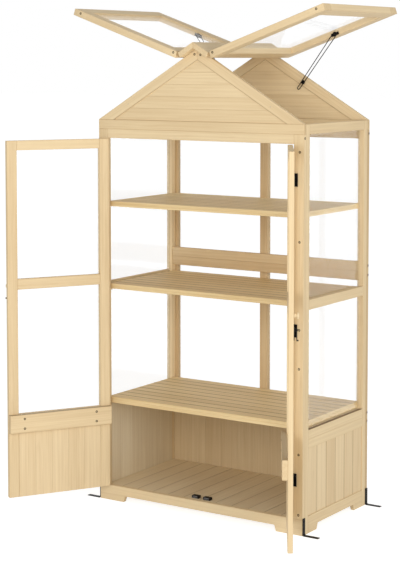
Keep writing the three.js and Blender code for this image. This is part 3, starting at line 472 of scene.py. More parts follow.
def row_of_boards(low, high, along, across, pitch, faces=0, joint_ease=joint_ease):
    """Tongued boards side by side over a panel, as many as its width has pitches, all alike.
    At the seams their arrises are eased on both faces for faces 0, on the lower or the higher one
    for -1 or 1, or on neither for 2. The tongue lies across each seam halfway through the boards."""
    low, high = np.array(low, float), np.array(high, float)
    count = max(1, round((high[across] - low[across]) / pitch))
    marks = np.linspace(low[across], high[across], count + 1)
    laid = []
    deep = 3 - along - across
    first_way, second_way = np.array([-1, 1, 1, -1]), np.array([-1, -1, 1, 1])
    in_depth, in_width = (second_way, first_way) if deep == (along + 2) % 3 else (first_way, second_way)
    for i, (start, stop) in enumerate(zip(marks[:-1], marks[1:])):
        ends = {-1: i == 0, 1: i == count - 1}
        meets = np.array([not ends[way] for way in in_width])
        shown = meets & ((faces == 0) | (in_depth == faces))
        edges = np.where(shown, joint_ease, np.where(meets, tight, ease))
        a, b = low.copy(), high.copy()
        a[across] = start + (joint_slot / 2 if i > 0 else 0)
        b[across] = stop - (joint_slot / 2 if i < count - 1 else 0)
        # The arrises at the seams are marked as joints, for painted shade and dirt in the grooves.
        laid.append(jointed(board(a, b, along, edges), shown))
    for seam in marks[1:-1]:
        a, b = low.copy(), high.copy()
        a[across], b[across] = seam - tongue / 2, seam + tongue / 2
        middle = (low[deep] + high[deep]) / 2
        a[deep], b[deep] = middle - tongue / 2, middle + tongue / 2
        a[along], b[along] = a[along] + tight, b[along] - tight
        laid.append(board(a, b, along))
    return laid


def sheltered(parts, amount):
    """The same parts, marked by how much less yellow they are painted, for the cooler light inside the
    base.
    """
    for part in parts:
        part["sheltered"] = np.full(len(part["at"]), amount)
    return parts


for side, sign in hands:
    node = f"{side}_side_boards"
    low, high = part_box(node)
    face, lining = (high.x, low.x) if sign > 0 else (low.x, high.x)
    behind = lining + sign * board_thick
    laid = row_of_boards(
        (face, low.y, side_plinth_high), (behind, high.y, store_rail_low), Z, Y, board_pitch, sign
    )
    lined = row_of_boards((lining, low.y, low.z), (behind, high.y, high.z), Z, Y, board_pitch, 2)
    # The lining is painted less yellow, for the cooler light inside the base.
    laid += sheltered(lined, 1.0)
    fasten(f"{side}_panel_boards", laid, board_fir, "cabinet", "board_wood", node)

# Back: two broad uprights, a header, a doubled rail and a footed plinth, with a post in the
# middle of the window, a cross brace of two boards inside it and upright boards below.
low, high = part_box("rear_frame")
half, back = high.x, high.y
inside = back - front_thick
stile, header_low, brace_low, brace_seam, brace_high = 0.044, 1.554, 0.960, 1.000, 1.040
opening = half - stile
post_wide, post_deep = 0.037, 0.027
# The back frame is of a darker fir: painted shade, for the little light that reaches it inside the
# cabinet.
back_fir = fir("back_fir", (0.70, 0.545, 0.33), (0.52, 0.36, 0.19), contrast=1.2)
parts = footed((-half, inside, 0), (half, back, side_plinth_high), X, foot, foot_top, rise)
for sign in (-1, 1):
    parts.append(board((sign * opening, inside, side_plinth_high), (sign * half, back, sill_low), Z))
for base, top in ((header_low, sill_low), *store_rails):
    parts.append(board((-opening, inside, base), (opening, back, top), X))
brace_face = back - post_deep - rail_thick
for base, top in ((brace_low, brace_seam), (brace_seam, brace_high)):
    parts.append(board((-inner, brace_face, base), (inner, brace_face + rail_thick, top), X))
parts.append(
    board((-post_wide / 2, back - post_deep, store_top), (post_wide / 2, back, header_low), Z)
)
# The two uprights and the middle post are given a darker tone than the rest, more painted shade.
for upright in (parts[3], parts[4], parts[-1]):
    upright["tone"][:] = 1.8
fasten("back_framing", parts, back_fir, "cabinet", "frame_wood", "rear_frame")
floor_under, back_pitch, floor_pitch = 0.030, 0.086, 0.080
laid = row_of_boards(
    (-inner, inside - board_thick, floor_under), (inner, inside, store_top), Z, X, back_pitch, 1
)
lining_fir = fir("lining_fir", (0.65, 0.505, 0.305), (0.48, 0.335, 0.175), joint=0.3)
fasten("back_boards", laid, lining_fir, "cabinet", "frame_wood", "rear_frame")

# Storage floor: tongued boards laid from front to back on the plinths. They are painted a little
# less yellow, for the cooler light inside the base.
laid = sheltered(row_of_boards(*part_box("floor_boards"), Y, X, floor_pitch), 0.6)
fasten("floor_of_boards", laid, board_fir, "cabinet", "board_wood", "floor_boards")

# Shelves: tongued boards running from side to side on a front batten and two end battens.
# The bottom one closes the storage base and stands on deeper battens.
shelf_fir = fir(
    "shelf_fir", (0.835, 0.65, 0.36), (0.61, 0.42, 0.19), contrast=1.6, arris_tint=0.1, joint=0.9
)
shelf_ease, batten, shelf_pitch = 0.0020, 0.020, 0.056
for name in ("top", "middle", "bottom"):
    low, high = map(np.array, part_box(f"{name}_shelf"))
    under = high[Z] - board_thick
    parts = row_of_boards((low[X], low[Y], under), high, X, Y, shelf_pitch, 0, shelf_ease)
    # The sawn ends of boards and battens are painted paler than their faces, a painted highlight where
    # the side light falls on the shelf's ends, and no joint darkens them.
    for part in parts:
        part["joint"] *= np.abs(part["at"][:, X]) < high[X] - 1.2 * shelf_ease
        part["end_grain"] *= -1.0
    parts.append(board(low, (high[X], low[Y] + batten, under), X))
    # The end battens are given a light tone, more painted highlight on the shelf's ends.
    for start, stop in ((low[X], low[X] + batten), (high[X] - batten, high[X])):
        parts.append(board((start, low[Y] + batten, low[Z]), (stop, high[Y], under), Y))
        parts[-1]["tone"][:] = -1.5
    fasten(f"{name}_shelf_of_boards", parts, shelf_fir, "cabinet", "shelf_wood", f"{name}_shelf")

# Gables: a sill and two sloping rakes round a recessed panel of level boards, whose ends
# follow the rakes.
roof_fir = fir("roof_fir")
gable_high, rake, recess = 1.930, 0.041, 0.004
slope = math.atan2(gable_high - eaves, half)
crest = gable_high - rake / math.cos(slope) - eaves
tuck, panel_ease, panel_pitch, least_board = 0.010, 0.0007, 0.050, 0.004
sill_seam, panel_seam = 0.3, 0.2
upright_cut, level_cut = -math.tan(slope), 1 / math.tan(slope)


def turned(parts, pivot, axis, degrees):
    """The same parts turned about a line through the pivot, by the matrix of that rotation."""
    turn = np.array(Matrix.Rotation(math.radians(degrees), 3, Vector(axis)))
    for part in parts:
        part["at"] = (part["at"] - np.array(pivot)) @ turn.T + np.array(pivot)
    return parts


for name in ("front", "rear"):
    low, high = map(np.array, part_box(f"{name}_gable"))
    # The arrises of the sill and the rakes along the panel, and the panel's own, are marked as joints,
    # which the finish darkens with painted shade.
    parts = [jointed(board(low, (high[X], high[Y], eaves), X), (0, 0, sill_seam, sill_seam))]
    mid_out = -rake / 2
    foot_at = (gable_high - eaves + mid_out * math.cos(slope)) / math.sin(slope)
    # Each rake is built level, cut upright at the gable point and flat on the sill, then sloped.
    for sign in (-1, 1):
        start, stop = -mid_out * math.tan(slope), foot_at
        ends, lean = (start, stop), ((0, upright_cut), (0, level_cut))
        if sign < 0:
            ends, lean = (-stop, -start), ((0, -level_cut), (0, -upright_cut))
        sloping = board(
            (ends[0], low[Y], gable_high - rake), (ends[1], high[Y], gable_high), X, ease, lean
        )
        sloping = jointed(sloping, (1, 1, 0, 0))
        parts += turned([sloping], (0, low[Y], gable_high), (0, 1, 0), sign * math.degrees(slope))
    for base in np.arange(0, crest - least_board, panel_pitch):
        top = min(base + panel_pitch, crest)
        half_way = (crest - (base + top) / 2) / math.tan(slope) + tuck
        level = board(
            (-half_way, low[Y] + recess, eaves + base),
            (half_way, high[Y] - recess, eaves + top),
            X, panel_ease, ((0, level_cut), (0, -level_cut)),
        )
        outside = (1, 0, 0, 1) if name == "front" else (0, 1, 1, 0)
        parts.append(jointed(level, panel_seam * np.array(outside)))
    fasten(f"{name}_gable_end", parts, roof_fir, "cabinet", "roof_wood", f"{name}_gable")

# Ridge: two boards mitred together over the gable points, overhanging them front and back.
low, high = map(np.array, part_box("ridge_cap"))
ridge_thick, ridge_reach, seat = 0.0215, 0.073, 0.0003


def on_slope(sign, along, out):
    """Down the roof from the gable point by along, and out from the roof by out, on one side."""
    x = along * math.cos(slope) + out * math.sin(slope)
    z = gable_high - along * math.sin(slope) + out * math.cos(slope)
    return sign * x, z


parts = []
for sign in (-1, 1):
    corners = [
        (0, gable_high + seat / math.cos(slope)),
        on_slope(sign, ridge_reach, seat),
        on_slope(sign, ridge_reach, seat + ridge_thick),
        (0, gable_high + (seat + ridge_thick) / math.cos(slope)),
    ]
    section = [(z, x) for x, z in corners]
    if sign > 0:
        section = section[::-1]
    parts.append(plank(section, low[Y], high[Y], Y))
fasten("ridge_boards", parts, roof_fir, "cabinet", "roof_wood", "ridge_cap")

# Clear sheets: three millimetre acrylic, slid into grooves of the frames before these close.
clear, tree, shader = new_material(
    "clear_acrylic", Base_Color=(0.985, 0.992, 0.992, 1), Metallic=0.0, Transmission_Weight=1.0,
    IOR=1.46, Alpha=0.14,
)
place = add_node(tree, "ShaderNodeTexCoord").outputs["Object"]
haze = stretched_noise(tree, place, 3.0, 3.0, 4.0)
sag = stretched_noise(tree, place, 4.0, 4.0, 1.0)
dress(tree, shader, sag, 0.2, 0.002, Roughness=sums(tree, "MULTIPLY_ADD", haze, 0.006, 0.001))


def finished(node, finish):
    """Gives a CAD node that stays in the scene its finish."""
    slots = frame["nodes"][node].data.materials
    slots.clear()
    slots.append(finish)


finished("rear_pane", clear)
for side, _ in hands:
    for place in ("side", "door", "lid"):
        finished(f"{side}_{place}_pane", clear)

# Doors: framed like a ladder, with a clear sheet above and tongued boards below the low
# rail. A broad kick rail is screwed across the inside. They are built shut, then swung open.
door_fir = fir("door_fir")
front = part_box("front_plinth")[0].y
door_open, door_low, door_high = 121, 0.067, 1.552
door_stile, door_thick, stand, doorway = 0.043, 0.020, 0.003, 0.454
side_gap, meet_gap, door_pitch = 0.0015, 0.0015, 0.071
low_rail, low_rail_top, mid_rail, mid_rail_top, door_rail = 0.376, 0.416, 0.936, 0.980, 0.040
foot_rail_thick, kick_low, kick_thick = 0.0077, 0.340, 0.021
hung_at = {sign: np.array([sign * doorway, front - stand, 0.0]) for _, sign in hands}


def opened(parts, sign):
    """Parts of the left or right door, swung open from where they are on the shut door."""
    return turned(parts, hung_at[sign], (0, 0, 1), sign * door_open)


for side, sign in hands:
    pivot, body = hung_at[sign], f"{side}_door"

    def shut(a, b, deep, base, top, along):
        """A board of the shut door: a and b from the hinge line towards the middle, deep from
        the hinge line inwards, base and top above the ground."""
        near, far = pivot[X] - sign * a, pivot[X] - sign * b
        return board((near, pivot[Y] + deep[0], base), (far, pivot[Y] + deep[1], top), along)

    start, stop = side_gap, doorway - meet_gap
    inner_start, inner_stop = start + door_stile, stop - door_stile
    face, inside_face = stand, stand + door_thick
    deep = (face, inside_face)
    parts = [
        shut(start, inner_start, deep, door_low, door_high, Z),
        shut(inner_stop, stop, deep, door_low, door_high, Z),
    ]
    rails = ((door_high - door_rail, door_high), (mid_rail, mid_rail_top), (low_rail, low_rail_top))
    for base, top in rails:
        parts.append(shut(inner_start, inner_stop, deep, base, top, X))
    foot_deep, kick_deep = (face, face + foot_rail_thick), (inside_face, inside_face + kick_thick)
    parts.append(shut(inner_start, inner_stop, foot_deep, door_low, door_low + door_rail, X))
    parts.append(shut(start, stop, kick_deep, kick_low, low_rail_top, X))
    # The free stile and the middle rail are given a darker tone, and the top of the kick rail is darkened
    # with painted shade.
    parts[1]["tone"][:] = 1.0
    parts[3]["tone"][:] = 1.2
    shade_top(parts[-1], low_rail_top)
    fasten(f"{body}_framing", opened(parts, sign), door_fir, body, "door_wood", f"{body}_frame")
    ends = sorted(pivot[X] - sign * at for at in (inner_start + seat, inner_stop - seat))
    laid = row_of_boards(
        (ends[0], pivot[Y] + inside_face - board_thick, door_low),
        (ends[1], pivot[Y] + inside_face - seat, low_rail - seat),
        Z, X, door_pitch, -1,
    )
    fasten(f"{body}_panel", opened(laid, sign), board_fir, body, "board_wood", f"{body}_boards")

# Lids: front and rear members run the full length of the slope, with two members between
# them, round a clear sheet. The edge at the ridge is bevelled for the hinge.
lid_fir = fir("lid_fir")
lid_open, lid_long, lid_member = 19.3, 0.552, 0.054
lid_joint, lid_under, lid_over = 0.0019, -0.024, 0.004
bevel_down, bevel_in, overhang = 0.006, 0.005, 0.033
hinge_at = {joint["child"]: np.array(joint["pos_m"]) for joint in frame["joints"]}
lid_front, lid_back = front - overhang, back + overhang
front_seam, rear_seam = lid_front + lid_member, lid_back - lid_member
for side, sign in hands:
    body = f"{side}_lid"
    pivot = hinge_at[body]

    def member(near, far, y_low, y_high, grain):
        """A member of the level lid between two distances from the hinge line. Its section lies
        across the ridge, and is bevelled at the ridge."""
        corners = [(near, lid_under), (far, lid_under), (far, lid_over)]
        if near == lid_joint:
            corners += [(near + bevel_in, lid_over), (near, -bevel_down)]
        else:
            corners.append((near, lid_over))
        section = [(pivot[Z] + z, pivot[X] + sign * x) for x, z in corners]
        return plank(section[::-1] if sign > 0 else section, y_low, y_high, Y, grain)

    outer = lid_joint + lid_long
    parts = [
        member(lid_joint, outer, lid_front, front_seam, X),
        member(lid_joint, outer, rear_seam, lid_back, X),
        member(lid_joint, lid_joint + lid_member, front_seam, rear_seam, Y),
        member(outer - lid_member, outer, front_seam, rear_seam, Y),
    ]
    parts = turned(parts, pivot, (0, 1, 0), -sign * lid_open)
    fasten(f"{body}_framing", parts, lid_fir, body, "roof_wood", f"{body}_frame")

# Door hinges: butt hinges of two millimetre steel with a black finish. One leaf is screwed to
# the face of the upright, the other to the face of the door, and a pin joins their knuckles.
def square_to(axis, aside):
    """Two directions at right angles to an axis, the first one also to the direction aside."""
    first = np.cross(axis, aside)
    first = first / np.linalg.norm(first)
    return first, np.cross(axis, first)


def turned_form(base, axis, outline, sides=20, closed=False):
    """A turned form: each point of the outline is a radius and a height along the axis, and the
    outline is carried round that axis. A closed outline has no ends, and an open one ends flat."""
    axis, outline = np.array(axis, float), np.array(outline, float)
    first, second = square_to(axis, (1, 0, 0))
    angle = 2 * math.pi * np.arange(sides) / sides
    round_axis = np.cos(angle)[:, None] * first + np.sin(angle)[:, None] * second
    at = np.array(base) + outline[:, 1, None, None] * axis + outline[:, 0, None, None] * round_axis
    return shell(at, closed, arris=np.zeros(len(outline) * sides))


def rounded_rod(base, axis, radius, long, edge=0.0004, sides=20):
    """A turned rod whose ends draw in along a quarter circle, with a narrow band beside it that
    keeps the rod straight in the shading."""
    turn, beside = np.radians([0, 45, 90]), 0.0006
    low = np.stack([radius - edge + edge * np.sin(turn), edge - edge * np.cos(turn)], 1)
    high = np.stack([low[::-1, 0], long - low[::-1, 1]], 1)
    middle = [(radius, edge + beside), (radius, long - edge - beside)]
    inner = radius - edge - beside
    outline = np.concatenate([[(inner, 0)], low, middle, high, [(inner, long)]])
    made = turned_form(base, axis, outline, sides)
    made["arris"] = np.repeat([0, 0.6, 1, 0.6, 0, 0, 0.6, 1, 0.6, 0], sides)
    return made


def screw_head(place, out, radius):
    """A low domed head with a cross recess, in shares of its radius. Over a disc of rings and
    spokes its height is a dome, less a recess wherever the nearer arm of the cross is closer than
    half that arm's width."""
    spokes, shares = 32, np.array([1.0, 0.97, 0.86, 0.66, 0.5, 0.36, 0.22, 0.1])[:, None]
    arm_half, arm_blend, cross_reach, end_blend = 0.2, 0.08, 0.62, 0.1
    dome, shoulder, recess_deep, below = 0.16, 0.05, 0.42, 0.2
    angle = 2 * math.pi * np.arange(spokes) / spokes
    x, y = shares * np.cos(angle), shares * np.sin(angle)
    nearer = np.minimum(np.abs(x), np.abs(y))
    recess = np.clip((arm_half - nearer) / arm_blend, 0, 1)
    recess = recess * np.clip((cross_reach - shares) / end_blend, 0, 1)
    height = dome * np.sqrt(np.clip(1.02 - shares**2, 0, 1)) + shoulder - recess_deep * recess
    out = np.array(out, float)
    first, second = square_to(out, (0, 0, 1) if abs(out[Z]) < 0.9 else (1, 0, 0))
    disc = x[..., None] * first + y[..., None] * second
    rings = np.concatenate([disc[:1] - below * out, disc + height[..., None] * out])
    worn = np.repeat([0, 0.8, 1, 0.5, 0, 0, 0, 0, 0], spokes)
    return shell(np.array(place) + radius * rings, arris=worn)


def edge_wear():
    """Worn finish: noise breaks up the arris mask, so that only parts of an edge are rubbed. A
    slower noise lays the dust, and a fine one roughens the surface."""
    group = group_with(
        "edge_wear",
        {"Place": "Vector", "Arris": "Float", "Amount": "Float"},
        {"Worn": "Float", "Dust": "Float", "Height": "Float"},
    )
    given = add_node(group, "NodeGroupInput").outputs
    rub = stretched_noise(group, given["Place"], 220.0, 220.0, 3.0, 0.6)
    rub = sums(group, "MULTIPLY_ADD", rub, 4.0, -1.7, clamp=True)
    worn = sums(group, "MULTIPLY", sums(group, "MULTIPLY", rub, given["Arris"]), given["Amount"])
    dust = stretched_noise(group, given["Place"], 45.0, 45.0, 4.0, 0.6)
    speckle = stretched_noise(group, given["Place"], 1500.0, 1500.0)
    add_node(group, "NodeGroupOutput", {"Worn": worn, "Dust": dust, "Height": speckle})
    return group


wear_group = edge_wear()


def metal(name, colour, bare, metallic, amount, shine=0.4):
    """Finished metal: its colour is paler under dust, and gives way to the bare one where the
    shared wear says so."""
    made, tree, shader = new_material(name, Specular_IOR_Level=shine)
    feeds = {
        "Place": add_node(tree, "ShaderNodeTexCoord").outputs["Object"],
        "Arris": add_node(tree, "ShaderNodeAttribute", attribute_name="arris").outputs["Fac"],
        "Amount": amount,
    }
    wear = add_node(tree, "ShaderNodeGroup", feeds, node_tree=wear_group).outputs
    dusty = sums(tree, "MULTIPLY_ADD", wear["Dust"], 0.5, -0.12, clamp=True)
    base = mixed(tree, dusty, (*colour, 1), (*[2.6 * c for c in colour], 1))
    dress(
        tree, shader, wear["Height"], 0.25, 0.0001,
        Base_Color=mixed(tree, wear["Worn"], base, (*bare, 1)),
        Metallic=sums(tree, "MULTIPLY_ADD", wear["Worn"], 1.0 - metallic, metallic),
        Roughness=sums(tree, "MULTIPLY_ADD", wear["Dust"], 0.34, 0.2),
    )
    return made


black = metal("black_finish", (0.006, 0.005, 0.0045), (0.16, 0.155, 0.15), 0.1, 0.35, 0.08)
upwards, forwards, backwards = (0, 0, 1), (0, -1, 0), (0, 1, 0)
hinge_high, leaf_thick, barrel, leaf_wide = 0.052, 0.002, 0.0029, 0.019
hinge_centres = (0.222, 0.818, 1.414)
hole_rise, hinge_screw, hinge_pin, pin_past = 0.016, 0.0031, 0.0015, 0.0008
leaf_off, wrap_past, steel_ease, free = 0.0003, 0.001, 0.0005, 0.0002
shut_face = front - seat
leaf_back = shut_face - leaf_thick
knuckle_high = hinge_high / 3


def knuckle(spot, axis, long, low, high, edge):
    """A knuckle: its barrel from a spot along an axis, and the part of the leaf that wraps to it
    between two corners."""
    wrap = board(low, high, Z if axis == upwards else Y, edge)
    return [rounded_rod(spot, axis, barrel, long - 2 * free), wrap]


for side, sign in hands:
    pivot = hung_at[sign]
    for i, centre in enumerate(hinge_centres, 1):
        low_z, high_z = centre - hinge_high / 2, centre + hinge_high / 2
        for leaf, way, body, spans in (
            ("frame", sign, "cabinet", ((-1.5, -0.5), (0.5, 1.5))),
            ("door", -sign, f"{side}_door", ((-0.5, 0.5),)),
        ):
            start, stop = pivot[X] + way * (barrel + leaf_off), pivot[X] + way * leaf_wide
            parts = [board((start, leaf_back, low_z), (stop, shut_face, high_z), Z, steel_ease)]
            wrap = pivot[X] + way * (barrel + wrap_past)
            for a, b in spans:
                base, top = centre + a * knuckle_high, centre + b * knuckle_high
                parts += knuckle(
                    (pivot[X], pivot[Y], base + free), upwards, (b - a) * knuckle_high,
                    (pivot[X], leaf_back, base + 2 * free),
                    (wrap, shut_face - free / 2, top - 2 * free), 2 * free,
                )
            if leaf == "frame":
                pin_foot = (pivot[X], pivot[Y], low_z - pin_past)
                parts.append(rounded_rod(pin_foot, upwards, hinge_pin, hinge_high + 2 * pin_past))
            for rise in (-hole_rise, hole_rise):
                spot = (pivot[X] + way * (leaf_wide + barrel) / 2, leaf_back, centre + rise)
                parts.append(screw_head(spot, forwards, hinge_screw))
            if leaf == "door":
                parts = opened(parts, sign)
            fasten(
                f"{side}_hinge_{i}_{leaf}_half", parts, black, body, "hinge_black",
                f"{side}_door_hinge_{i}_{leaf}_leaf",
            )

# Knobs: turned from fir, with a waist behind a rounded head, and screwed on from inside.
knob_head, knob_reach, knob_sides = 0.0125, 0.020, 32
knob_from_edge, knob_high, knob_tone, knob_pith = 0.0145, 0.950, 0.35, (0.02, 0.011)
knob_outline = np.array([
    (0.30, 0.0), (0.72, 0.0), (0.72, 0.08), (0.56, 0.20), (0.56, 0.38), (0.74, 0.50),
    (0.96, 0.62), (1.0, 0.72), (0.96, 0.84), (0.76, 0.95), (0.40, 1.0), (0.10, 1.0),
])


def rounded(points, times):
    """The same outline with its corners cut off at a quarter of each side, again and again."""
    for _ in range(times):
        near, far = points[:-1], points[1:]
        cut = np.stack([0.75 * near + 0.25 * far, 0.25 * near + 0.75 * far], 1).reshape(-1, 2)
        points = np.concatenate([points[:1], cut, points[-1:]])
    return points


for side, sign in hands:
    base = (hung_at[sign][X] - sign * (doorway - meet_gap - knob_from_edge), shut_face, knob_high)
    outline = rounded(knob_outline, 2) * (knob_head, knob_reach)
    knob = turned_form(base, forwards, outline, knob_sides)
    centred = knob["at"] - base
    # The knob is turned from a stick with its grain along the knob and its pith to one side. Its
    # end grain shows over the last tenth of its length.
    in_trunk = (-centred[:, Y] + saw.uniform(0, trunk_long), centred[:, Z], centred[:, X])
    knob["grain"] = np.stack(in_trunk, 1) + (0, *knob_pith)
    knob["tone"] = np.full(len(centred), knob_tone)
    end_face = np.clip((outline[:, 1] / knob_reach - 0.9) * 5, 0, 0.5)
    knob["end_grain"] = np.repeat(end_face, knob_sides)
    fasten(
        f"{side}_turned_knob", opened([knob], sign), door_fir, f"{side}_door", "knob_wood",
        f"{side}_door_knob",
    )

# Latch: a lever of flat steel that hangs from a boss on the right door and, turned level, drops
# into an open keeper on the left door. Both plates are screwed to the outer faces.
latch_top, plate_high, plate_wide, plate_thick = 0.905, 0.046, 0.020, 0.002
latch_in, pivot_down, boss, latch_stand = 0.015, 0.009, 0.006, 0.0075
lever_long, lever_wide, lever_thick, grip, grip_long = 0.040, 0.010, 0.003, 0.005, 0.004
play, latch_screw, latch_pin = 0.0006, 0.0030, 0.0025
cap, cap_thick, cap_ease, grip_ease, below_eye = 0.005, 0.0016, 0.0006, 0.0008, 0.0034


def strip(x, wide, deep, up, along, edge):
    """A board centred on x, with its width, its depths from and to and its heights from and to."""
    return board((x - wide / 2, deep[0], up[0]), (x + wide / 2, deep[1], up[1]), along, edge)


def forward_rod(x, z, start, stop, radius, edge=0.0004, sides=20):
    """A rounded rod that points forwards, from the depth start to the depth stop."""
    return rounded_rod((x, start, z), forwards, radius, start - stop, edge, sides)


def flat_ring(bore, wide, low, high, edge):
    """The closed outline of a flat ring from low to high, with its outer corners cut off."""
    outer = [(wide - edge, low), (wide, low + edge), (wide, high - edge), (wide - edge, high)]
    return [(bore, low), *outer, (bore, high)]


def fit(name, parts, body, *nodes):
    """Fastens parts with the black finish of the fittings."""
    fasten(name, parts, black, body, "fitting_black", *nodes)


latch_x = hung_at[1][X] - (doorway - meet_gap - latch_in)
latch_z = latch_top - pivot_down
plate_face = shut_face - plate_thick
lever_back = plate_face - latch_stand
lever_front = lever_back - lever_thick
lever_deep = (lever_front, lever_back)
cap_back = lever_front - play / 2
plate_up = (latch_top - plate_high, latch_top)
plate = [
    strip(latch_x, plate_wide, (plate_face, shut_face), plate_up, Z, cap_ease),
    forward_rod(latch_x, latch_z, shut_face - plate_thick / 2, lever_back + play, boss),
    forward_rod(latch_x, latch_z, plate_face, lever_front - play, latch_pin),
    forward_rod(latch_x, latch_z, cap_back, cap_back - cap_thick, cap, cap_ease),
]
for down in (0.022, 0.039):
    plate.append(screw_head((latch_x, plate_face, latch_top - down), forwards, latch_screw))
fit("latch_backplate", opened(plate, 1), "right_door", "latch_plate")
eye_bore, eye_wide, eye_ease = 0.0027, 0.005, 0.0003
eye = flat_ring(eye_bore, eye_wide, 0, lever_thick, eye_ease)
foot_z = latch_z - lever_long
lever = [
    turned_form((latch_x, lever_back, latch_z), forwards, eye, 24, closed=True),
    strip(latch_x, lever_wide, lever_deep, (foot_z, latch_z - below_eye), Z, cap_ease),
    strip(
        latch_x, lever_wide, (lever_front - grip, lever_back - free), (foot_z, foot_z + grip_long),
        X, grip_ease,
    ),
]
fit("latch_turn_lever", opened(lever, 1), "latch", "latch_lever")
keeper_long, keeper_from_edge, wall, lip_down, hole_down = 0.013, 0.001, 0.0016, 0.006, 0.030
keeper_x = hung_at[-1][X] + doorway - meet_gap - keeper_from_edge - keeper_long / 2
keeper_top = latch_z + lever_wide / 2 + play
lip = lever_front - play
wall_face = shut_face - wall
keeper = [
    strip(keeper_x, keeper_long, deep, up, along, steel_ease)
    for deep, up, along in (
        ((wall_face, shut_face), (keeper_top + wall - plate_high, keeper_top), Z),
        ((lip - wall, shut_face), (keeper_top, keeper_top + wall), X),
        ((lip - wall, lip), (keeper_top - lip_down, keeper_top + 2 * free), Z),
    )
]
keeper.append(screw_head((keeper_x, wall_face, keeper_top - hole_down), forwards, latch_screw))
fit("latch_keeper_hook", opened(keeper, -1), "left_door", "latch_keeper")

# Lid hinges: a long hinge stands in the joint between the ridge and each lid. Its five knuckles
# show above the joint, three on the ridge's leaf and two on the lid's.
lid_hinge_long, lid_leaf, lid_gap, lid_short = 0.500, 0.0015, 0.0004, 0.003
knuckle_down, wrap_down, wrap_short, thin_ease = 0.0031, 0.0036, 0.001, 0.0003
knuckle_long = lid_hinge_long / 5
hinge_start = (front + back - lid_hinge_long) / 2
for side, sign in hands:
    pivot = hinge_at[f"{side}_lid"]
    for leaf, way, body, order, tip in (
        ("ridge", -sign, "cabinet", (0, 2, 4), sign * math.degrees(slope)),
        ("lid", sign, f"{side}_lid", (1, 3), -sign * lid_open),
    ):
        near, far = pivot[X] + way * lid_gap, pivot[X] + way * (lid_gap + lid_leaf - seat)
        parts = [
            board(
                (near, hinge_start, pivot[Z] + lid_under + lid_short),
                (far, hinge_start + lid_hinge_long, pivot[Z] - knuckle_down), Y, thin_ease,
            )
        ]
        for i in order:
            start = hinge_start + i * knuckle_long + free
            parts += knuckle(
                (pivot[X], start, pivot[Z]), backwards, knuckle_long,
                (near, start + thin_ease, pivot[Z] - wrap_down),
                (far, start + knuckle_long - wrap_short, pivot[Z]), thin_ease,
            )
        if leaf == "ridge":
            spot = (pivot[X], hinge_start - pin_past, pivot[Z])
            parts.append(rounded_rod(spot, backwards, hinge_pin, lid_hinge_long + 2 * pin_past))
        fasten(
            f"{side}_long_hinge_{leaf}_half", turned(parts, pivot, (0, 1, 0), tip), black, body,
            "hinge_black", f"{side}_lid_hinge_{leaf}_leaf",
        )

# Stays: a loop of steel wire turns on a saddle inside each lid and slides over a peg on the
# rear gable, which holds the lid open.
saddle_long, saddle_high, saddle_thick, saddle_screw = 0.038, 0.013, 0.0015, 0.0026
wire, top_wide, end_wide, stay_long, hub_wide = 0.00175, 0.017, 0.011, 0.294, 0.010
hub_bore, hub_ease, hub_sides, wire_start = 0.0022, 0.0004, 28, 0.006
from_pivot, below_pivot, stay_angle, to_peg = 0.279, 0.0155, 127.3, 0.255
saddle_face = rear_seam - seat
stay_plane = saddle_face - saddle_thick - seat - wire
saddle_pin, saddle_disc, pin_in, pin_out, screw_off = 0.002, 0.004, 0.0007, 0.0004, 0.0145
peg_radius, peg_disc, peg_disc_thick, peg_short, peg_in = 0.004, 0.009, 0.0025, 0.001, 0.0012
peg_ease, disc_ease, wire_worn = 0.0003, 0.0007, 0.25


def drawn_wire(path, radius, normal, sides=10):
    """A round wire: a circle carried along a flat path, in the plane across each step of it."""
    heading = np.gradient(path, axis=0)
    heading /= np.linalg.norm(heading, axis=1)[:, None]
    across = np.cross(heading, normal)
    angle = 2 * math.pi * np.arange(sides) / sides
    circle = np.cos(angle)[None, :, None] * normal + np.sin(angle)[None, :, None] * across[:, None]
    return shell(path[:, None] + radius * circle, arris=np.full(len(path) * sides, wire_worn))


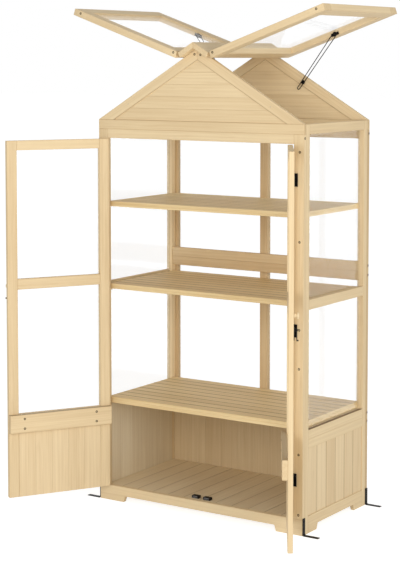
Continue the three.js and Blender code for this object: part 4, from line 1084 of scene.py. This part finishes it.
for side, sign in hands:
    pivot, top = hinge_at[f"{side}_lid"], hinge_at[f"{side}_lid_stay"]
    centre = (top[X], stay_plane, top[Z])
    low_end = -stay_long + end_wide / 2 + wire
    turn = np.radians(np.linspace(180, 360, 15))
    bend = np.stack([end_wide / 2 * np.cos(turn), 0 * turn, low_end + end_wide / 2 * np.sin(turn)], 1)
    # Both legs lean in towards the bend, and start under the hub that turns on the saddle's pin.
    reach = np.linspace(wire_start, -low_end, 12)[:, None]
    wide_at = top_wide / 2 - (top_wide - end_wide) / 2 / -low_end * reach
    one_leg, other_leg = (np.concatenate([x, 0 * reach, -reach], 1) for x in (-wide_at, wide_at))
    path = np.concatenate([one_leg[:-1], bend, other_leg[::-1][1:]]) + centre
    hub = flat_ring(hub_bore, hub_wide, -wire, wire, hub_ease)
    stay = [
        drawn_wire(path, wire, np.array(backwards, float)),
        turned_form(centre, backwards, hub, hub_sides, closed=True),
    ]
    stay = turned(stay, centre, (0, 1, 0), sign * (stay_angle - 90))
    fit(f"{side}_wire_stay", stay, f"{side}_lid_stay", f"{side}_stay")
    x, z = pivot[X] + sign * from_pivot, pivot[Z] - below_pivot
    pin_end, saddle_front = stay_plane - wire - seat, saddle_face - saddle_thick
    saddle = [
        strip(
            x, saddle_long, (saddle_front, saddle_face), (z - saddle_high / 2, z + saddle_high / 2),
            X, steel_ease,
        ),
        forward_rod(x, z, saddle_face - pin_in, pin_end - pin_out, saddle_pin),
        forward_rod(x, z, pin_end, pin_end - saddle_thick, saddle_disc, cap_ease),
    ]
    for off in (-screw_off, screw_off):
        saddle.append(screw_head((x + off, saddle_front, z), forwards, saddle_screw))
    saddle = turned(saddle, pivot, (0, 1, 0), -sign * lid_open)
    fit(f"{side}_stay_saddle", saddle, f"{side}_lid", f"{side}_stay_bracket")
    angle = math.radians(stay_angle)
    peg_x = top[X] + sign * to_peg * math.cos(angle)
    peg_z = top[Z] - to_peg * math.sin(angle)
    peg_end = stay_plane + wire + peg_short
    disc_back = peg_end + peg_disc_thick
    peg = [
        forward_rod(peg_x, peg_z, inside, peg_end + peg_in, peg_radius, peg_ease),
        forward_rod(peg_x, peg_z, disc_back, peg_end, peg_disc, disc_ease, hub_sides),
    ]
    fit(f"{side}_peg_and_disc", peg, "cabinet", f"{side}_stay_peg")

# Ground anchors: bent straps, whose upright legs are screwed to the corners of the cabinet.
# The lying legs keep their holes free for pegs.
anchor_thick, anchor_screw = 0.0025, 0.0042
for side, sign in hands:
    for end in ("front", "rear"):
        node = f"{side}_{end}_anchor"
        low, high = map(np.array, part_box(node))
        finished(node, black)
        middle = (low[Y] + high[Y]) / 2
        heads = [
            screw_head((sign * (half + anchor_thick), middle, up), (sign, 0, 0), anchor_screw)
            for up in (0.026, 0.056)
        ]
        fit(f"{side}_{end}_anchor_screws", heads, "cabinet")

# Magnetic catches: two small black cases on the floor behind the meeting doors, each with two
# steel faces towards the front, held down by one screw.
steel = metal("catch_steel", (0.30, 0.30, 0.31), (0.55, 0.55, 0.55), 0.9, 0.4)
case_black = metal("case_black", (0.010, 0.008, 0.006), (0.06, 0.05, 0.04), 0.0, 0.3, 0.06)
case_wide, case_deep, case_high, catch_apart = 0.034, 0.020, 0.012, 0.056
face_wide, face_thick, face_out, face_in = 0.024, 0.0016, 0.0015, 0.004
case_ease, case_screw_in, lower_face, upper_face = 0.0018, 0.014, 0.0028, 0.0078
floor_top, catch_front = 0.065, front + 0.026
case_top = floor_top + case_high
for side, sign in hands:
    x, deep = sign * catch_apart / 2, (catch_front, catch_front + case_deep)
    case = [
        strip(x, case_wide, deep, (floor_top, case_top), X, case_ease),
        screw_head((x, catch_front + case_screw_in, case_top), upwards, latch_screw),
    ]
    fasten(f"{side}_catch_case", case, case_black, "cabinet", "fitting_black")
    deep = (catch_front - face_out, catch_front + face_in)
    faces = [
        strip(x, face_wide, deep, (up, up + face_thick), X, thin_ease)
        for up in (floor_top + lower_face, floor_top + upper_face)
    ]
    fasten(f"{side}_catch_faces", faces, steel, "cabinet", "fitting_black")

# Screws through the frames: black cross-head screws, whose low domes stand out of the surface.
screw_black = metal("screw_black", (0.007, 0.004, 0.002), (0.10, 0.08, 0.06), 0.0, 0.2, 0.02)
screw_wide, screw_sink = 0.0049, 0.0002


def screwed(name, places, out, body="cabinet", sign=None):
    """Screw heads at the places given, let a little into the surface that faces out. With a sign
    they are on the left or right door and open with it."""
    out = np.array(out, float)
    heads = [screw_head(np.array(place) - screw_sink * out, out, screw_wide) for place in places]
    heads = heads if sign is None else opened(heads, sign)
    fasten(name, heads, screw_black, body, "fitting_black")


stile_middle, stile_screws = half - 0.019, (0.082, 0.3245, 0.667, 0.822, 1.170, 1.523)
face_screws = [(sign * stile_middle, front, up) for _, sign in hands for up in stile_screws]
screwed("front_face_screws", face_screws, forwards)
for side, sign in hands:
    side_screws = [(sign * half, front + 0.008, 1.577)]
    side_screws += [(sign * half, back - 0.005, up) for up in (0.359, 0.395, 0.980, 1.020, 1.576)]
    screwed(f"{side}_side_screws", side_screws, (sign, 0, 0))
    lid_screws = [(sign * x, lid_front, up) for x, up in ((0.0947, 1.913), (0.569, 2.078))]
    screwed(f"{side}_lid_screws", lid_screws, forwards, f"{side}_lid")
    hinge_line, hinge_depth, _ = hung_at[sign]
    kick_face = hinge_depth + stand + door_thick + kick_thick
    kick_screws = [
        (hinge_line - sign * off, kick_face, up) for off in (0.071, 0.3905) for up in (0.3575, 0.3985)
    ]
    screwed(f"{side}_kick_rail_screws", kick_screws, backwards, f"{side}_door", sign)
screwed("gable_point_screws", [(-0.013, front, 1.905), (0.0155, front, 1.903)], forwards)

# Nails: one in each rake of the front gable, whose small steel head is flush with the surface.
nail_out, nail_high, nail_wide, nail_ease, nail_sides = 0.3465, 1.6977, 0.0016, 0.0002, 16
nail_deep = (front + 0.0006, front - 0.0001)
nails = [
    forward_rod(sign * nail_out, nail_high, *nail_deep, nail_wide, nail_ease, nail_sides)
    for _, sign in hands
]
fasten("rake_nails", nails, steel, "cabinet", "fitting_black")
